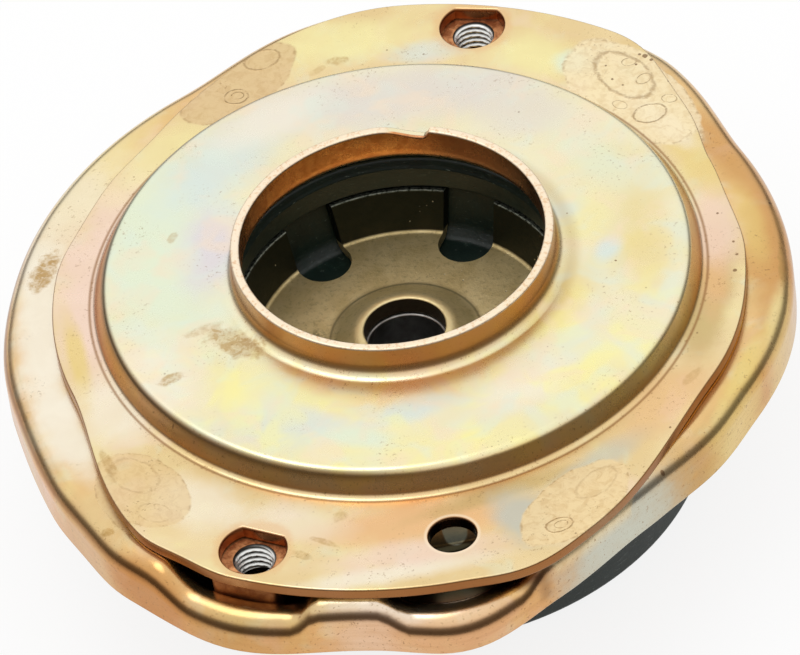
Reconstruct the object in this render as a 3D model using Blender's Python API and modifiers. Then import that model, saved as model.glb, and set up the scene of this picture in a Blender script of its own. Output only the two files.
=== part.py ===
"""Top mount of a steered suspension strut.

A pressed top plate is spot-welded onto a pressed pan. Between them a moulded rubber ring holds
the inner cup that the strut rod is bolted to. Under the pan a ball thrust bearing lets the
spring seat turn with the strut.

The strut axis is the Z axis. Z is 0 on the surface that the mount stands on, which is the
underside of the rubber pad below the spring seat. Lengths are in metres.
"""

import math

import bmesh
import bpy

MM = 0.001

# Clearances
GAP = 0.3 * MM  # between two pieces that touch on the real mount
RUNNING_GAP = 0.6 * MM  # between a piece that stands still and one that turns
OVERSHOOT = 1.0 * MM  # how far a cutter runs past the piece it cuts

# Stack of the lower half, from the ground up
PAD_THICKNESS = 6.8 * MM
SEAT_SHEET = 2.0 * MM
RACE_SHEET = 1.6 * MM
BALL_RADIUS = 3.0 * MM
PAN_SHEET = 2.5 * MM
PAN_DEPTH = 18.2 * MM  # from the pan's flange down to its floor
PLATE_SHEET = 2.5 * MM

# Top plate
PLATE_FLANGE_WIDTH = 8.2 * MM  # from the dome's base to the round sides of the edge
PLATE_FAR_MARGIN = 6.2 * MM  # from a screw hole's centre out to the edge of its lobe
PLATE_NEAR_MARGIN = 8.0 * MM
PLATE_FAR_LOBE_ANGLES = (19, 52, 84, 134)  # degrees: starts to rise, full, starts to fall, gone
PLATE_NEAR_LOBE_ANGLES = (-165, -122, -84, -34)
PLATE_EDGE_SWELLS = (  # degrees: direction and half width, then how far out the edge swells
    (138, 17, -1.0 * MM),
    (153, 14, -1.2 * MM),
    (-126, 8, -1.2 * MM),
    (-78, 10, 0.9 * MM),
    (-30, 26, 1.0 * MM),
    (9, 14, -1.0 * MM),
    (27, 8, 0.6 * MM),
    (39, 9, -0.7 * MM),
)
DOME_BASE_RADIUS = 58.0 * MM
DOME_FOOT_WIDTH = 1.0 * MM  # radial width of the small rounding at the dome's foot
DOME_WALL_RUN = 2.1 * MM  # inward lean of the dome's wall
DOME_HEIGHT = 5.0 * MM
DOME_RISE = 0.5 * MM  # the top climbs this much more towards the collar
DOME_SHOULDER = 3.0 * MM  # radial width of the rounded shoulder
COLLAR_BORE_RADIUS = 29.0 * MM
COLLAR_WALL = 1.8 * MM
COLLAR_HEIGHT = 12.0 * MM
COLLAR_FILLET = 2.4 * MM
RIM_CHAMFER = 0.35 * MM
NOTCH_DEPTH = 1.5 * MM
NOTCH_SIDE_1 = 70.3  # degrees round the collar, from the steep side to the gentle side
NOTCH_FLOOR_1 = 71.6
NOTCH_FLOOR_2 = 80.5
NOTCH_SIDE_2 = 89.5

# Fixing holes: distance out from the dome's base, and direction in degrees
REAR_BOLT_OUT = 13.8 * MM
REAR_BOLT_ANGLE = 72.6
FRONT_BOLT_OUT = 15.8 * MM
FRONT_BOLT_ANGLE = -117.2
PILOT_OUT = 11.5 * MM
PILOT_ANGLE = -87.4
PILOT_BORE_RADIUS = 4.55 * MM
D_HOLE_RADIUS = 6.2 * MM
D_HOLE_FLAT = 4.6 * MM  # from the hole's centre to its flat side
D_HOLE_FLAT_ANGLE = 74.0
COINED_EDGE_WIDTH = 0.7 * MM
COINED_EDGE_DEPTH = 0.5 * MM
NUT_WIDTH = 13.0 * MM
NUT_HEIGHT = 6.5 * MM
NUT_BORE_RADIUS = 3.4 * MM
NUT_CORNER = 1.2 * MM

# Pan
PAN_MARGIN = 9.1 * MM  # how far the pan stands out past the plate's round sides
PAN_SIDE_SHIFT = 0.5 * MM  # the pan stands out this much more on the left than the mean
PAN_LOBE = 8.7 * MM
PAN_FAR_LOBE_ANGLES = (22, 58, 80, 120)
PAN_NEAR_LOBE_ANGLES = (-172, -128, -92, -58)
REAR_POCKET_END_GAP = 4.4 * MM  # from a nut out to the end of its pocket's floor
FRONT_POCKET_END_GAP = 1.3 * MM
PAN_PILOT_BULGE = 2.8 * MM
PAN_NUT_BULGE_HALF_ANGLE = 16
PAN_PILOT_BULGE_HALF_ANGLE = 13
PAN_FLANK_DIP = 2.7 * MM
PAN_FLANK_ANGLE = -45
PAN_FLANK_HALF_ANGLE = 35
PAN_EDGE_SWELLS = (  # degrees: direction and half width, then how far out the skirt swells
    (-173, 24, 0.9 * MM),
    (-144, 9, -0.7 * MM),
    (-42, 12, 0.8 * MM),
    (36, 14, 0.5 * MM),
    (102, 17, 1.3 * MM),
)
PAN_SKIRT_DEPTH = 11.2 * MM  # from the pan's flange down to the skirt's lower edge
BEAD_RADIUS = 4.5 * MM
POCKET_EDGE_DROP = 3.0 * MM
POCKET_SIDE_GAP = 1.8 * MM  # from a nut to each side wall of its pocket
POCKET_WALL_ANGLE = 4.5
POCKET_LIP = 1.4 * MM  # run of the rise from a pocket's floor to the bead
POCKET_FOOT_GAP = 1.3 * MM  # from a nut in to the foot of its pocket's inner slope
POCKET_SLOPE = 3.5 * MM
PAN_SHELF = 8.0 * MM  # flat between the pockets' slopes and the fillet of the deep wall
PAN_WALL_DRAFT = 1.5 * MM
PAN_FILLET = 4.0 * MM
PAN_OPENING_RADIUS = 25.0 * MM

# Inner cup and rod bush
CUP_SHEET = 2.0 * MM
CUP_CORNER = 1.2 * MM
CUP_RIM_DEPTH = 6.0 * MM  # below the top plate's flange
CUP_FLOOR_DEPTH = 15.0 * MM
CUP_RIM_MARGIN = 2.5 * MM  # how much wider the cup's mouth is than the collar
CUP_LEAN = 2.3 * MM
BOSS_FOOT_RADIUS = 14.3 * MM
BOSS_LAND_RADIUS = 9.4 * MM
BOSS_HEIGHT = 2.8 * MM
BOSS_THICKNESS = 3.6 * MM
BOSS_EDGE = 0.3 * MM
ROD_BORE_RADIUS = 7.8 * MM
SLOT_COUNT = 6
SLOT_FIRST_ANGLE = 59.5
SLOT_RADIUS = 4.8 * MM
SLOT_INNER_REACH = 22.2 * MM  # from the strut axis to the slot's round end
BUSH_RADIUS = 11.5 * MM
BUSH_BORE_STEP = 0.5 * MM  # how much narrower the bush's bore is than the cup's
BUSH_CHAMFER = 0.5 * MM
BUSH_LENGTH = 12.0 * MM

# Rubber ring
LIP_BORE_MARGIN = 2.2 * MM  # how much wider the lip's bore is than the collar
LIP_DRAFT = 0.5 * MM
FLASH_HEIGHT = 0.7 * MM
FLASH_REACH = 0.4 * MM
RUBBER_GROOVE = 0.7 * MM
LIP_WIDTH = 6.5 * MM
LIP_FLARE = 2.2 * MM  # how much wider the lip gets down to the shoulder
RELIEF_DEPTH = 7.5 * MM
RUBBER_EDGE = 1.2 * MM
CUP_SLEEVE_GAP = 0.6 * MM  # between the cup's wall and the rubber behind it
PLUG_LENGTH = 4.0 * MM
PLUG_TAPER = 1.0 * MM

# Thrust bearing
BALL_COUNT = 14
RACE_NECK_GAP = 1.96 * MM  # between the seat's neck and the races
RACE_WRAP = 60.0  # degrees of groove on each side of the ball's pole
RACE_BRIM = 3.4 * MM
CAGE_THICKNESS = 1.0 * MM
CAGE_MARGIN = 3.2 * MM  # cage left on each side of the ball pockets
SEAL_WALL = 1.8 * MM
SEAL_LIP_WIDTH = 0.7 * MM
SEAL_SLOPE = 2.0 * MM

# Spring seat and pad
SEAT_NECK_FILLET = 2.6 * MM
SEAT_RIM_RADIUS = 52.6 * MM
SEAT_RIM_FILLET = 3.0 * MM
SEAT_RIM_DROP = 5.0 * MM
PAD_LIP_WALL = 2.6 * MM
PAD_INNER_LAND = 4.5 * MM
PAD_OUTER_LAND = 3.5 * MM
PAD_EDGE = 1.0 * MM
PAD_LIP_DROP = 0.9 * MM  # from the seat's top down to the top of the lip round its rim
PAD_LIP_TAPER = 0.4 * MM
SPRING_GROOVE_DEPTH = 2.0 * MM
SPRING_GROOVE_WIDTH = 9.5 * MM
SPRING_GROOVE_SLOPE = 1.2 * MM

# Roundness of the turned and lofted pieces
ROUND_STEPS = 40
INNER_ROUND_STEPS = 30
LOFT_STEP = 7.5  # degrees
POCKET_STEP = 3.7
SHARP_ANGLE = math.radians(32)

# Heights that follow from the stack
SEAT_UNDERSIDE = PAD_THICKNESS + GAP
SEAT_TOP = SEAT_UNDERSIDE + SEAT_SHEET
GROOVE_RADIUS = BALL_RADIUS + GAP
RACE_REACH = GROOVE_RADIUS + RACE_SHEET  # from the ball's centre to the back of a race
BALL_HEIGHT = SEAT_TOP + GAP + RACE_REACH
PAN_UNDERSIDE = BALL_HEIGHT + RACE_REACH + GAP
PAN_FLOOR = PAN_UNDERSIDE + PAN_SHEET
PAN_FLANGE = PAN_FLOOR + PAN_DEPTH
PLATE_UNDERSIDE = PAN_FLANGE + GAP
PLATE_TOP = PLATE_UNDERSIDE + PLATE_SHEET
CUP_RIM = PLATE_TOP - CUP_RIM_DEPTH
CUP_FLOOR = PLATE_TOP - CUP_FLOOR_DEPTH
POCKET_DROP = NUT_HEIGHT + GAP

# Widths that follow, from the dome outwards
PLATE_SIDE_RADIUS = DOME_BASE_RADIUS + PLATE_FLANGE_WIDTH
REAR_BOLT_RADIUS = DOME_BASE_RADIUS + REAR_BOLT_OUT
FRONT_BOLT_RADIUS = DOME_BASE_RADIUS + FRONT_BOLT_OUT
PILOT_RADIUS = DOME_BASE_RADIUS + PILOT_OUT
PLATE_FAR_LOBE = REAR_BOLT_RADIUS + PLATE_FAR_MARGIN - PLATE_SIDE_RADIUS
PLATE_NEAR_LOBE = FRONT_BOLT_RADIUS + PLATE_NEAR_MARGIN - PLATE_SIDE_RADIUS
PAN_SIDE_RADIUS = PLATE_SIDE_RADIUS + PAN_MARGIN
NUT_REACH = NUT_WIDTH / 2
PAN_RIM_WIDTH = POCKET_LIP + BEAD_RADIUS
PAN_LOBE_RADIUS = PAN_SIDE_RADIUS + PAN_LOBE
REAR_POCKET_END = REAR_BOLT_RADIUS + NUT_REACH + REAR_POCKET_END_GAP
FRONT_POCKET_END = FRONT_BOLT_RADIUS + NUT_REACH + FRONT_POCKET_END_GAP
PAN_REAR_BULGE = REAR_POCKET_END + PAN_RIM_WIDTH - PAN_LOBE_RADIUS
PAN_FRONT_BULGE = FRONT_POCKET_END + PAN_RIM_WIDTH - PAN_LOBE_RADIUS
NUT_INNER_RADIUS = min(REAR_BOLT_RADIUS, FRONT_BOLT_RADIUS) - NUT_REACH
POCKET_FOOT_RADIUS = NUT_INNER_RADIUS - POCKET_FOOT_GAP
POCKET_TOP_RADIUS = POCKET_FOOT_RADIUS - POCKET_SLOPE
POCKET_CLEAR_ANGLE = math.degrees(math.atan((NUT_REACH + POCKET_SIDE_GAP) / NUT_INNER_RADIUS))
POCKET_HALF_ANGLE = POCKET_CLEAR_ANGLE + POCKET_WALL_ANGLE / 2
POCKET_ANGLES = (REAR_BOLT_ANGLE, FRONT_BOLT_ANGLE, PILOT_ANGLE)
PAN_MOUTH_RADIUS = POCKET_TOP_RADIUS - PAN_SHELF - PAN_FILLET

# Widths that follow, round the strut rod and below the pan
CUP_RIM_RADIUS = COLLAR_BORE_RADIUS + CUP_RIM_MARGIN
CUP_FLOOR_RADIUS = CUP_RIM_RADIUS - CUP_LEAN
LIP_BORE_RADIUS = COLLAR_BORE_RADIUS + LIP_BORE_MARGIN
BUSH_BORE_RADIUS = ROD_BORE_RADIUS - BUSH_BORE_STEP
SEAT_NECK_RADIUS = PAN_OPENING_RADIUS - RUNNING_GAP
RACE_HALF_WIDTH = RACE_REACH * math.sin(math.radians(RACE_WRAP)) + RACE_BRIM
BALL_CIRCLE_RADIUS = SEAT_NECK_RADIUS + SEAT_SHEET + RACE_NECK_GAP + RACE_HALF_WIDTH
RACE_OUTER_RADIUS = BALL_CIRCLE_RADIUS + RACE_HALF_WIDTH
PAD_OUTER_RADIUS = SEAT_RIM_RADIUS + GAP + PAD_LIP_WALL
SPRING_GROOVE_OUTER = PAD_OUTER_RADIUS - PAD_OUTER_LAND
SPRING_GROOVE_INNER = SPRING_GROOVE_OUTER - SPRING_GROOVE_WIDTH
PAD_INNER_RADIUS = SPRING_GROOVE_INNER - PAD_INNER_LAND


def smooth_step(value, start, end):
    """0 at start, 1 at end, with an even curve between."""
    share = min(1.0, max(0.0, (value - start) / (end - start)))
    return share * share * (3 - 2 * share)


def angle_between(angle, centre):
    """How far angle lies from centre, in degrees, from -180 to 180."""
    return (angle - centre + 180) % 360 - 180


def plateau(angle, rise_start, rise_end, fall_start, fall_end):
    """1 between rise_end and fall_start, 0 outside the outer two angles."""
    centre = (rise_end + fall_start) / 2
    turn = angle_between(angle, centre)
    rise = smooth_step(turn, rise_start - centre, rise_end - centre)
    fall = smooth_step(turn, fall_start - centre, fall_end - centre)
    return rise * (1 - fall)


def swell(angle, centre, half_width):
    """A round bump, 1 at centre and 0 from half_width on."""
    turn = abs(angle_between(angle, centre))
    return math.cos(math.pi / 2 * min(1.0, turn / half_width)) ** 2


def unevenness(angle, swells):
    """The sum of small swells, each given by its direction, half width and reach."""
    return sum(reach * swell(angle, centre, half_width) for centre, half_width, reach in swells)


def plate_outline(angle):
    """The top plate's edge: round sides, a lobe over the rear hole and one over the front two."""
    far = PLATE_FAR_LOBE * plateau(angle, *PLATE_FAR_LOBE_ANGLES)
    near = PLATE_NEAR_LOBE * plateau(angle, *PLATE_NEAR_LOBE_ANGLES)
    return PLATE_SIDE_RADIUS + far + near + unevenness(angle, PLATE_EDGE_SWELLS)


def pan_outline(angle):
    """The pan's skirt: it swells round each pocket and runs nearly straight on the right."""
    side = PAN_SIDE_RADIUS - PAN_SIDE_SHIFT * math.cos(math.radians(angle))
    lobes = plateau(angle, *PAN_FAR_LOBE_ANGLES) + plateau(angle, *PAN_NEAR_LOBE_ANGLES)
    bulge = PAN_REAR_BULGE * swell(angle, REAR_BOLT_ANGLE, PAN_NUT_BULGE_HALF_ANGLE)
    bulge += PAN_FRONT_BULGE * swell(angle, FRONT_BOLT_ANGLE, PAN_NUT_BULGE_HALF_ANGLE)
    bulge += PAN_PILOT_BULGE * swell(angle, PILOT_ANGLE, PAN_PILOT_BULGE_HALF_ANGLE)
    dip = PAN_FLANK_DIP * swell(angle, PAN_FLANK_ANGLE, PAN_FLANK_HALF_ANGLE)
    return side + PAN_LOBE * lobes + bulge - dip + unevenness(angle, PAN_EDGE_SWELLS)


def pocket_share(angle):
    """1 in a pocket of the pan, 0 between pockets, sloping over the pocket's walls."""
    inside = POCKET_HALF_ANGLE - POCKET_WALL_ANGLE / 2
    outside = POCKET_HALF_ANGLE + POCKET_WALL_ANGLE / 2
    return max(
        1 - smooth_step(abs(angle_between(angle, centre)), inside, outside)
        for centre in POCKET_ANGLES
    )


def notch_drop(angle):
    """How far the collar's rim dips at this angle."""
    return NOTCH_DEPTH * plateau(angle, NOTCH_SIDE_1, NOTCH_FLOOR_1, NOTCH_FLOOR_2, NOTCH_SIDE_2)


def arc(centre, radius, start, end, steps):
    """Points on an arc in the section plane, angles in degrees from +X."""
    angles = [math.radians(start + (end - start) * step / steps) for step in range(steps + 1)]
    return [(centre[0] + radius * math.cos(a), centre[1] + radius * math.sin(a)) for a in angles]


def offset_path(path, distance):
    """The path moved to its right by distance, with mitred corners."""
    moved = []
    for index, point in enumerate(path):
        before = path[max(index - 1, 0)]
        after = path[min(index + 1, len(path) - 1)]
        normals = []
        for first, second in ((before, point), (point, after)):
            run = (second[0] - first[0], second[1] - first[1])
            length = math.hypot(*run)
            if length > 0:
                normals.append((run[1] / length, -run[0] / length))
        mean = (normals[0][0] + normals[-1][0], normals[0][1] + normals[-1][1])
        scale = distance / (1 + normals[0][0] * normals[-1][0] + normals[0][1] * normals[-1][1])
        moved.append((point[0] + mean[0] * scale, point[1] + mean[1] * scale))
    return moved


def sheet_section(path, thickness):
    """The closed section of a sheet whose upper side is path, run from outside to inside."""
    return path + offset_path(path, -thickness)[::-1]


def loop_angles(features, step, fine_step=None):
    """Angles all round at about a step, with every feature angle among them.

    Where a pocket lies between two features, the fine step is used.
    """
    marks = sorted(feature % 360 for feature in features)
    angles = []
    for mark, following in zip(marks, marks[1:] + [marks[0] + 360]):
        fine = fine_step and pocket_share((mark + following) / 2) == 1
        pieces = max(1, round((following - mark) / (fine_step if fine else step)))
        angles += [mark + (following - mark) * piece / pieces for piece in range(pieces)]
    return angles


def new_material(name, colour, roughness, metallic):
    material = bpy.data.materials.new(name)
    material.use_nodes = True
    shader = material.node_tree.nodes["Principled BSDF"]
    shader.inputs["Base Color"].default_value = (*colour, 1)
    shader.inputs["Roughness"].default_value = roughness
    shader.inputs["Metallic"].default_value = metallic
    material.diffuse_color = (*colour, 1)
    return material


def add_mesh_object(name, mesh, collection, parent=None):
    obj = bpy.data.objects.new(name, mesh)
    collection.objects.link(obj)
    obj.parent = parent
    return obj


def settle(obj):
    """Applies the object's modifiers and shades its round faces smooth."""
    bpy.context.view_layer.update()
    graph = bpy.context.evaluated_depsgraph_get()
    mesh = bpy.data.meshes.new_from_object(obj.evaluated_get(graph))
    obj.modifiers.clear()
    mesh.name = obj.name
    obj.data = mesh
    mesh.shade_smooth()
    mesh.set_sharp_from_angle(angle=SHARP_ANGLE)
    return obj


def turned(name, section, steps, collection, parent=None):
    """A closed section in the XZ plane, turned about Z."""
    area = sum(a[0] * b[1] - b[0] * a[1] for a, b in zip(section, section[1:] + section[:1]))
    if area > 0:
        section = section[::-1]
    mesh = bpy.data.meshes.new(name)
    count = len(section)
    edges = [(index, (index + 1) % count) for index in range(count)]
    mesh.from_pydata([(x, 0, z) for x, z in section], edges, [])
    obj = add_mesh_object(name, mesh, collection, parent)
    screw = obj.modifiers.new("Turn", "SCREW")
    screw.steps = steps
    screw.render_steps = steps
    screw.use_merge_vertices = True
    screw.merge_threshold = 0.00001
    return settle(obj)


def lofted_ring(name, section_at, angles, collection, parent=None):
    """A closed section that changes as it goes round Z."""
    mesh = bpy.data.meshes.new(name)
    shape = bmesh.new()
    rings = []
    for angle in angles:
        c = math.cos(math.radians(angle))
        s = math.sin(math.radians(angle))
        rings.append([shape.verts.new((r * c, r * s, z)) for r, z in section_at(angle)])
    for ring, following in zip(rings, rings[1:] + rings[:1]):
        for index, corner in enumerate(ring):
            after = (index + 1) % len(ring)
            shape.faces.new((corner, following[index], following[after], ring[after]))
    bmesh.ops.recalc_face_normals(shape, faces=shape.faces)
    shape.to_mesh(mesh)
    shape.free()
    return settle(add_mesh_object(name, mesh, collection, parent))


def polar(radius, angle, height=0.0):
    return (radius * math.cos(math.radians(angle)), radius * math.sin(math.radians(angle)), height)


def extruded_outline(name, outlines, bottom, top, collection):
    """Flat outlines in XY, an outer one and any holes in it, made solid between two heights."""
    curve = bpy.data.curves.new(name, "CURVE")
    curve.dimensions = "2D"
    curve.fill_mode = "BOTH"
    curve.extrude = (top - bottom) / 2
    for outline in outlines:
        spline = curve.splines.new("POLY")
        spline.points.add(len(outline) - 1)
        for point, (x, y) in zip(spline.points, outline):
            point.co = (x, y, 0, 1)
        spline.use_cyclic_u = True
    flat = bpy.data.objects.new(name + "_curve", curve)
    collection.objects.link(flat)
    bpy.context.view_layer.update()
    graph = bpy.context.evaluated_depsgraph_get()
    mesh = bpy.data.meshes.new_from_object(flat.evaluated_get(graph))
    shape = bmesh.new()
    shape.from_mesh(mesh)
    bmesh.ops.remove_doubles(shape, verts=shape.verts, dist=1e-7)
    bmesh.ops.translate(shape, verts=shape.verts, vec=(0, 0, (top + bottom) / 2))
    bmesh.ops.recalc_face_normals(shape, faces=shape.faces)
    shape.to_mesh(mesh)
    shape.free()
    bpy.data.objects.remove(flat)
    return add_mesh_object(name, mesh, collection)


def cut(obj, cutters):
    """Takes each cutter out of the object."""
    for cutter in cutters:
        cutter.hide_render = True
        cutter.display_type = "WIRE"
        boolean = obj.modifiers.new(cutter.name, "BOOLEAN")
        boolean.operation = "DIFFERENCE"
        boolean.solver = "EXACT"
        boolean.object = cutter
    return settle(obj)


def round_outline(radius, steps, centre=(0.0, 0.0)):
    return [
        (centre[0] + x, centre[1] + y)
        for x, y, _ in (polar(radius, 360 * step / steps) for step in range(steps))
    ]


def d_outline(centre, radius, flat, facing, steps=22):
    """A circle with one flat side, whose outward direction is facing, in degrees."""
    open_angle = math.degrees(math.acos(flat / radius))
    sweep = 360 - 2 * open_angle
    angles = [facing + open_angle + sweep * step / steps for step in range(steps + 1)]
    return [(centre[0] + x, centre[1] + y) for x, y, _ in (polar(radius, a) for a in angles)]


def plate_section(angle):
    """Section of the top plate: edge, flange, dome, collar and back along the underside."""
    edge = plate_outline(angle)
    foot = DOME_BASE_RADIUS
    wall_top = foot - DOME_WALL_RUN
    crest = PLATE_TOP + DOME_HEIGHT
    upper = [
        (edge, PLATE_TOP),
        (foot + 0.8 * DOME_FOOT_WIDTH, PLATE_TOP),
        (foot - 0.2 * DOME_FOOT_WIDTH, PLATE_TOP + 0.5 * DOME_FOOT_WIDTH),
        (wall_top, PLATE_TOP + 0.76 * DOME_HEIGHT),
        (wall_top - 0.35 * DOME_SHOULDER, PLATE_TOP + 0.92 * DOME_HEIGHT),
        (wall_top - DOME_SHOULDER, crest),
    ]
    outer_radius = COLLAR_BORE_RADIUS + COLLAR_WALL
    fillet_foot = outer_radius + COLLAR_FILLET
    base = crest + DOME_RISE
    collar_foot = arc((fillet_foot, base + COLLAR_FILLET), COLLAR_FILLET, 270, 180, 2)
    rim = PLATE_TOP + COLLAR_HEIGHT - notch_drop(angle)
    collar_edge = [
        (outer_radius, rim - RIM_CHAMFER),
        (outer_radius - RIM_CHAMFER, rim),
        (COLLAR_BORE_RADIUS + RIM_CHAMFER, rim),
        (COLLAR_BORE_RADIUS, rim - RIM_CHAMFER),
    ]
    inner_fillet = COLLAR_FILLET + COLLAR_WALL
    throat_base = base - PLATE_SHEET
    throat = arc(
        (COLLAR_BORE_RADIUS + inner_fillet, throat_base + inner_fillet), inner_fillet, 180, 270, 2
    )
    return upper + collar_foot + collar_edge + throat + offset_path(upper, -PLATE_SHEET)[::-1]


def pan_section(angle):
    """Section of the pan: skirt, rolled bead, flange with its pockets, deep wall and floor."""
    reach = pan_outline(angle)
    share = pocket_share(angle)
    bead_top = PAN_FLANGE - POCKET_EDGE_DROP * share
    pocket = PAN_FLANGE - POCKET_DROP * share
    bead_centre = (reach - BEAD_RADIUS, bead_top - BEAD_RADIUS)
    upper = [(reach, PAN_FLANGE - PAN_SKIRT_DEPTH)]
    upper += arc(bead_centre, BEAD_RADIUS, 0, 90, 3)
    upper += [
        (reach - BEAD_RADIUS - POCKET_LIP, pocket),
        (POCKET_FOOT_RADIUS, pocket),
        (POCKET_TOP_RADIUS, PAN_FLANGE),
    ]
    upper += arc((PAN_MOUTH_RADIUS + PAN_FILLET, PAN_FLANGE - PAN_FILLET), PAN_FILLET, 90, 170, 2)
    floor_corner = (PAN_MOUTH_RADIUS - PAN_WALL_DRAFT - PAN_FILLET, PAN_FLOOR + PAN_FILLET)
    upper += arc(floor_corner, PAN_FILLET, -10, -90, 2)
    upper += [(PAN_OPENING_RADIUS, PAN_FLOOR)]
    return sheet_section(upper, PAN_SHEET)


def pan_wall_radius(height):
    """Inner radius of the pan's deep wall at a height."""
    top_height = PAN_FLANGE - PAN_FILLET
    bottom_height = PAN_FLOOR + PAN_FILLET
    share = (top_height - height) / (top_height - bottom_height)
    return PAN_MOUTH_RADIUS - PAN_WALL_DRAFT * min(1.0, max(0.0, share))


def cup_wall_radius(height):
    """Outer radius of the inner cup's wall at a height."""
    share = (CUP_RIM - height) / (CUP_RIM - CUP_FLOOR)
    return CUP_RIM_RADIUS - CUP_LEAN * min(1.0, share) + CUP_SHEET


def build_top_plate(parts, cutters, parent):
    features = [NOTCH_SIDE_1, NOTCH_FLOOR_1, NOTCH_FLOOR_2, NOTCH_SIDE_2]
    angles = loop_angles(features, LOFT_STEP)
    plate = lofted_ring("top_plate", plate_section, angles, parts, parent)
    tools = []
    above = PLATE_TOP + COINED_EDGE_DEPTH
    below = PLATE_UNDERSIDE - OVERSHOOT
    ledge = PLATE_TOP - COINED_EDGE_DEPTH
    holes = (
        ("rear", REAR_BOLT_RADIUS, REAR_BOLT_ANGLE),
        ("front", FRONT_BOLT_RADIUS, FRONT_BOLT_ANGLE),
    )
    for label, radius, angle in holes:
        centre = polar(radius, angle)[:2]
        hole = d_outline(centre, D_HOLE_RADIUS, D_HOLE_FLAT, D_HOLE_FLAT_ANGLE)
        edge = d_outline(
            centre,
            D_HOLE_RADIUS + COINED_EDGE_WIDTH,
            D_HOLE_FLAT + COINED_EDGE_WIDTH,
            D_HOLE_FLAT_ANGLE,
        )
        tools.append(extruded_outline(f"cut_{label}_hole", [hole], below, above, cutters))
        tools.append(extruded_outline(f"cut_{label}_coined_edge", [edge], ledge, above, cutters))
    pilot = round_outline(PILOT_BORE_RADIUS, 24, polar(PILOT_RADIUS, PILOT_ANGLE)[:2])
    tools.append(extruded_outline("cut_pilot_hole", [pilot], below, above, cutters))
    return cut(plate, tools)


def build_pan(parts, parent):
    inside = POCKET_HALF_ANGLE - POCKET_WALL_ANGLE / 2
    features = [
        centre + side * turn
        for centre in POCKET_ANGLES
        for side in (-1, 1)
        for turn in (inside, POCKET_HALF_ANGLE, inside + POCKET_WALL_ANGLE)
    ]
    angles = loop_angles(features, LOFT_STEP, POCKET_STEP)
    return lofted_ring("lower_pan", pan_section, angles, parts, parent)


def build_weld_nut(name, radius, angle, parts, cutters, parent):
    """A square weld nut against the underside of the plate, one side square to the radius."""
    top = PLATE_UNDERSIDE - GAP
    mesh = bpy.data.meshes.new(name)
    shape = bmesh.new()
    bmesh.ops.create_cube(shape, size=1)
    bmesh.ops.scale(shape, verts=shape.verts, vec=(NUT_WIDTH, NUT_WIDTH, NUT_HEIGHT))
    upright = [e for e in shape.edges if abs(e.verts[0].co.z - e.verts[1].co.z) > NUT_HEIGHT / 2]
    bmesh.ops.bevel(shape, geom=upright, offset=NUT_CORNER, segments=2, affect="EDGES", profile=0.5)
    shape.to_mesh(mesh)
    shape.free()
    nut = add_mesh_object(name, mesh, parts, parent)
    nut.location = polar(radius, angle, top - NUT_HEIGHT / 2)
    nut.rotation_euler = (0, 0, math.radians(angle))
    bore = round_outline(NUT_BORE_RADIUS, 24, polar(radius, angle)[:2])
    low = top - NUT_HEIGHT - OVERSHOOT
    high = top + OVERSHOOT
    return cut(nut, [extruded_outline(f"cut_{name}_bore", [bore], low, high, cutters)])


def build_inner_cup(parts, cutters, parent):
    """A pressed cup: wall, flat floor, raised boss, and slots that run out through the wall."""
    upper = [
        (CUP_RIM_RADIUS, CUP_RIM),
        (CUP_FLOOR_RADIUS + 0.1 * CUP_LEAN, CUP_FLOOR + CUP_CORNER),
        (CUP_FLOOR_RADIUS - CUP_CORNER, CUP_FLOOR),
        (BOSS_FOOT_RADIUS, CUP_FLOOR),
    ]
    boss_top = CUP_FLOOR + BOSS_HEIGHT
    boss = [
        (BOSS_LAND_RADIUS, boss_top),
        (ROD_BORE_RADIUS + BOSS_EDGE, boss_top),
        (ROD_BORE_RADIUS, boss_top - BOSS_EDGE),
        (ROD_BORE_RADIUS, boss_top - BOSS_THICKNESS),
        (BOSS_FOOT_RADIUS - CUP_SHEET, boss_top - BOSS_THICKNESS),
    ]
    section = upper + boss + offset_path(upper, -CUP_SHEET)[::-1]
    cup = turned("inner_cup", section, ROUND_STEPS, parts, parent)
    centre = SLOT_INNER_REACH + SLOT_RADIUS
    outside = CUP_RIM_RADIUS + CUP_SHEET + OVERSHOOT
    outline = [(centre + x, y) for x, y in arc((0, 0), SLOT_RADIUS, 90, 270, 8)]
    outline = [(outside, SLOT_RADIUS)] + outline + [(outside, -SLOT_RADIUS)]
    tools = []
    for number in range(SLOT_COUNT):
        turn = math.radians(SLOT_FIRST_ANGLE + 360 * number / SLOT_COUNT)
        c = math.cos(turn)
        s = math.sin(turn)
        placed = [(x * c - y * s, x * s + y * c) for x, y in outline]
        low = CUP_FLOOR - CUP_SHEET - OVERSHOOT
        name = f"cut_cup_slot_{number + 1}"
        tools.append(extruded_outline(name, [placed], low, CUP_RIM + OVERSHOOT, cutters))
    return cut(cup, tools)


def build_rod_bush(parts, parent):
    """A steel spacer under the cup's boss, which the strut rod passes through."""
    top = CUP_FLOOR + BOSS_HEIGHT - BOSS_THICKNESS - GAP
    bottom = top - BUSH_LENGTH
    section = [
        (BUSH_RADIUS, top),
        (BUSH_RADIUS, bottom + BUSH_CHAMFER),
        (BUSH_RADIUS - BUSH_CHAMFER, bottom),
        (BUSH_BORE_RADIUS, bottom),
        (BUSH_BORE_RADIUS, top - BUSH_CHAMFER),
        (BUSH_BORE_RADIUS + BUSH_CHAMFER, top),
    ]
    return turned("rod_bush", section, INNER_ROUND_STEPS, parts, parent)


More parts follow.
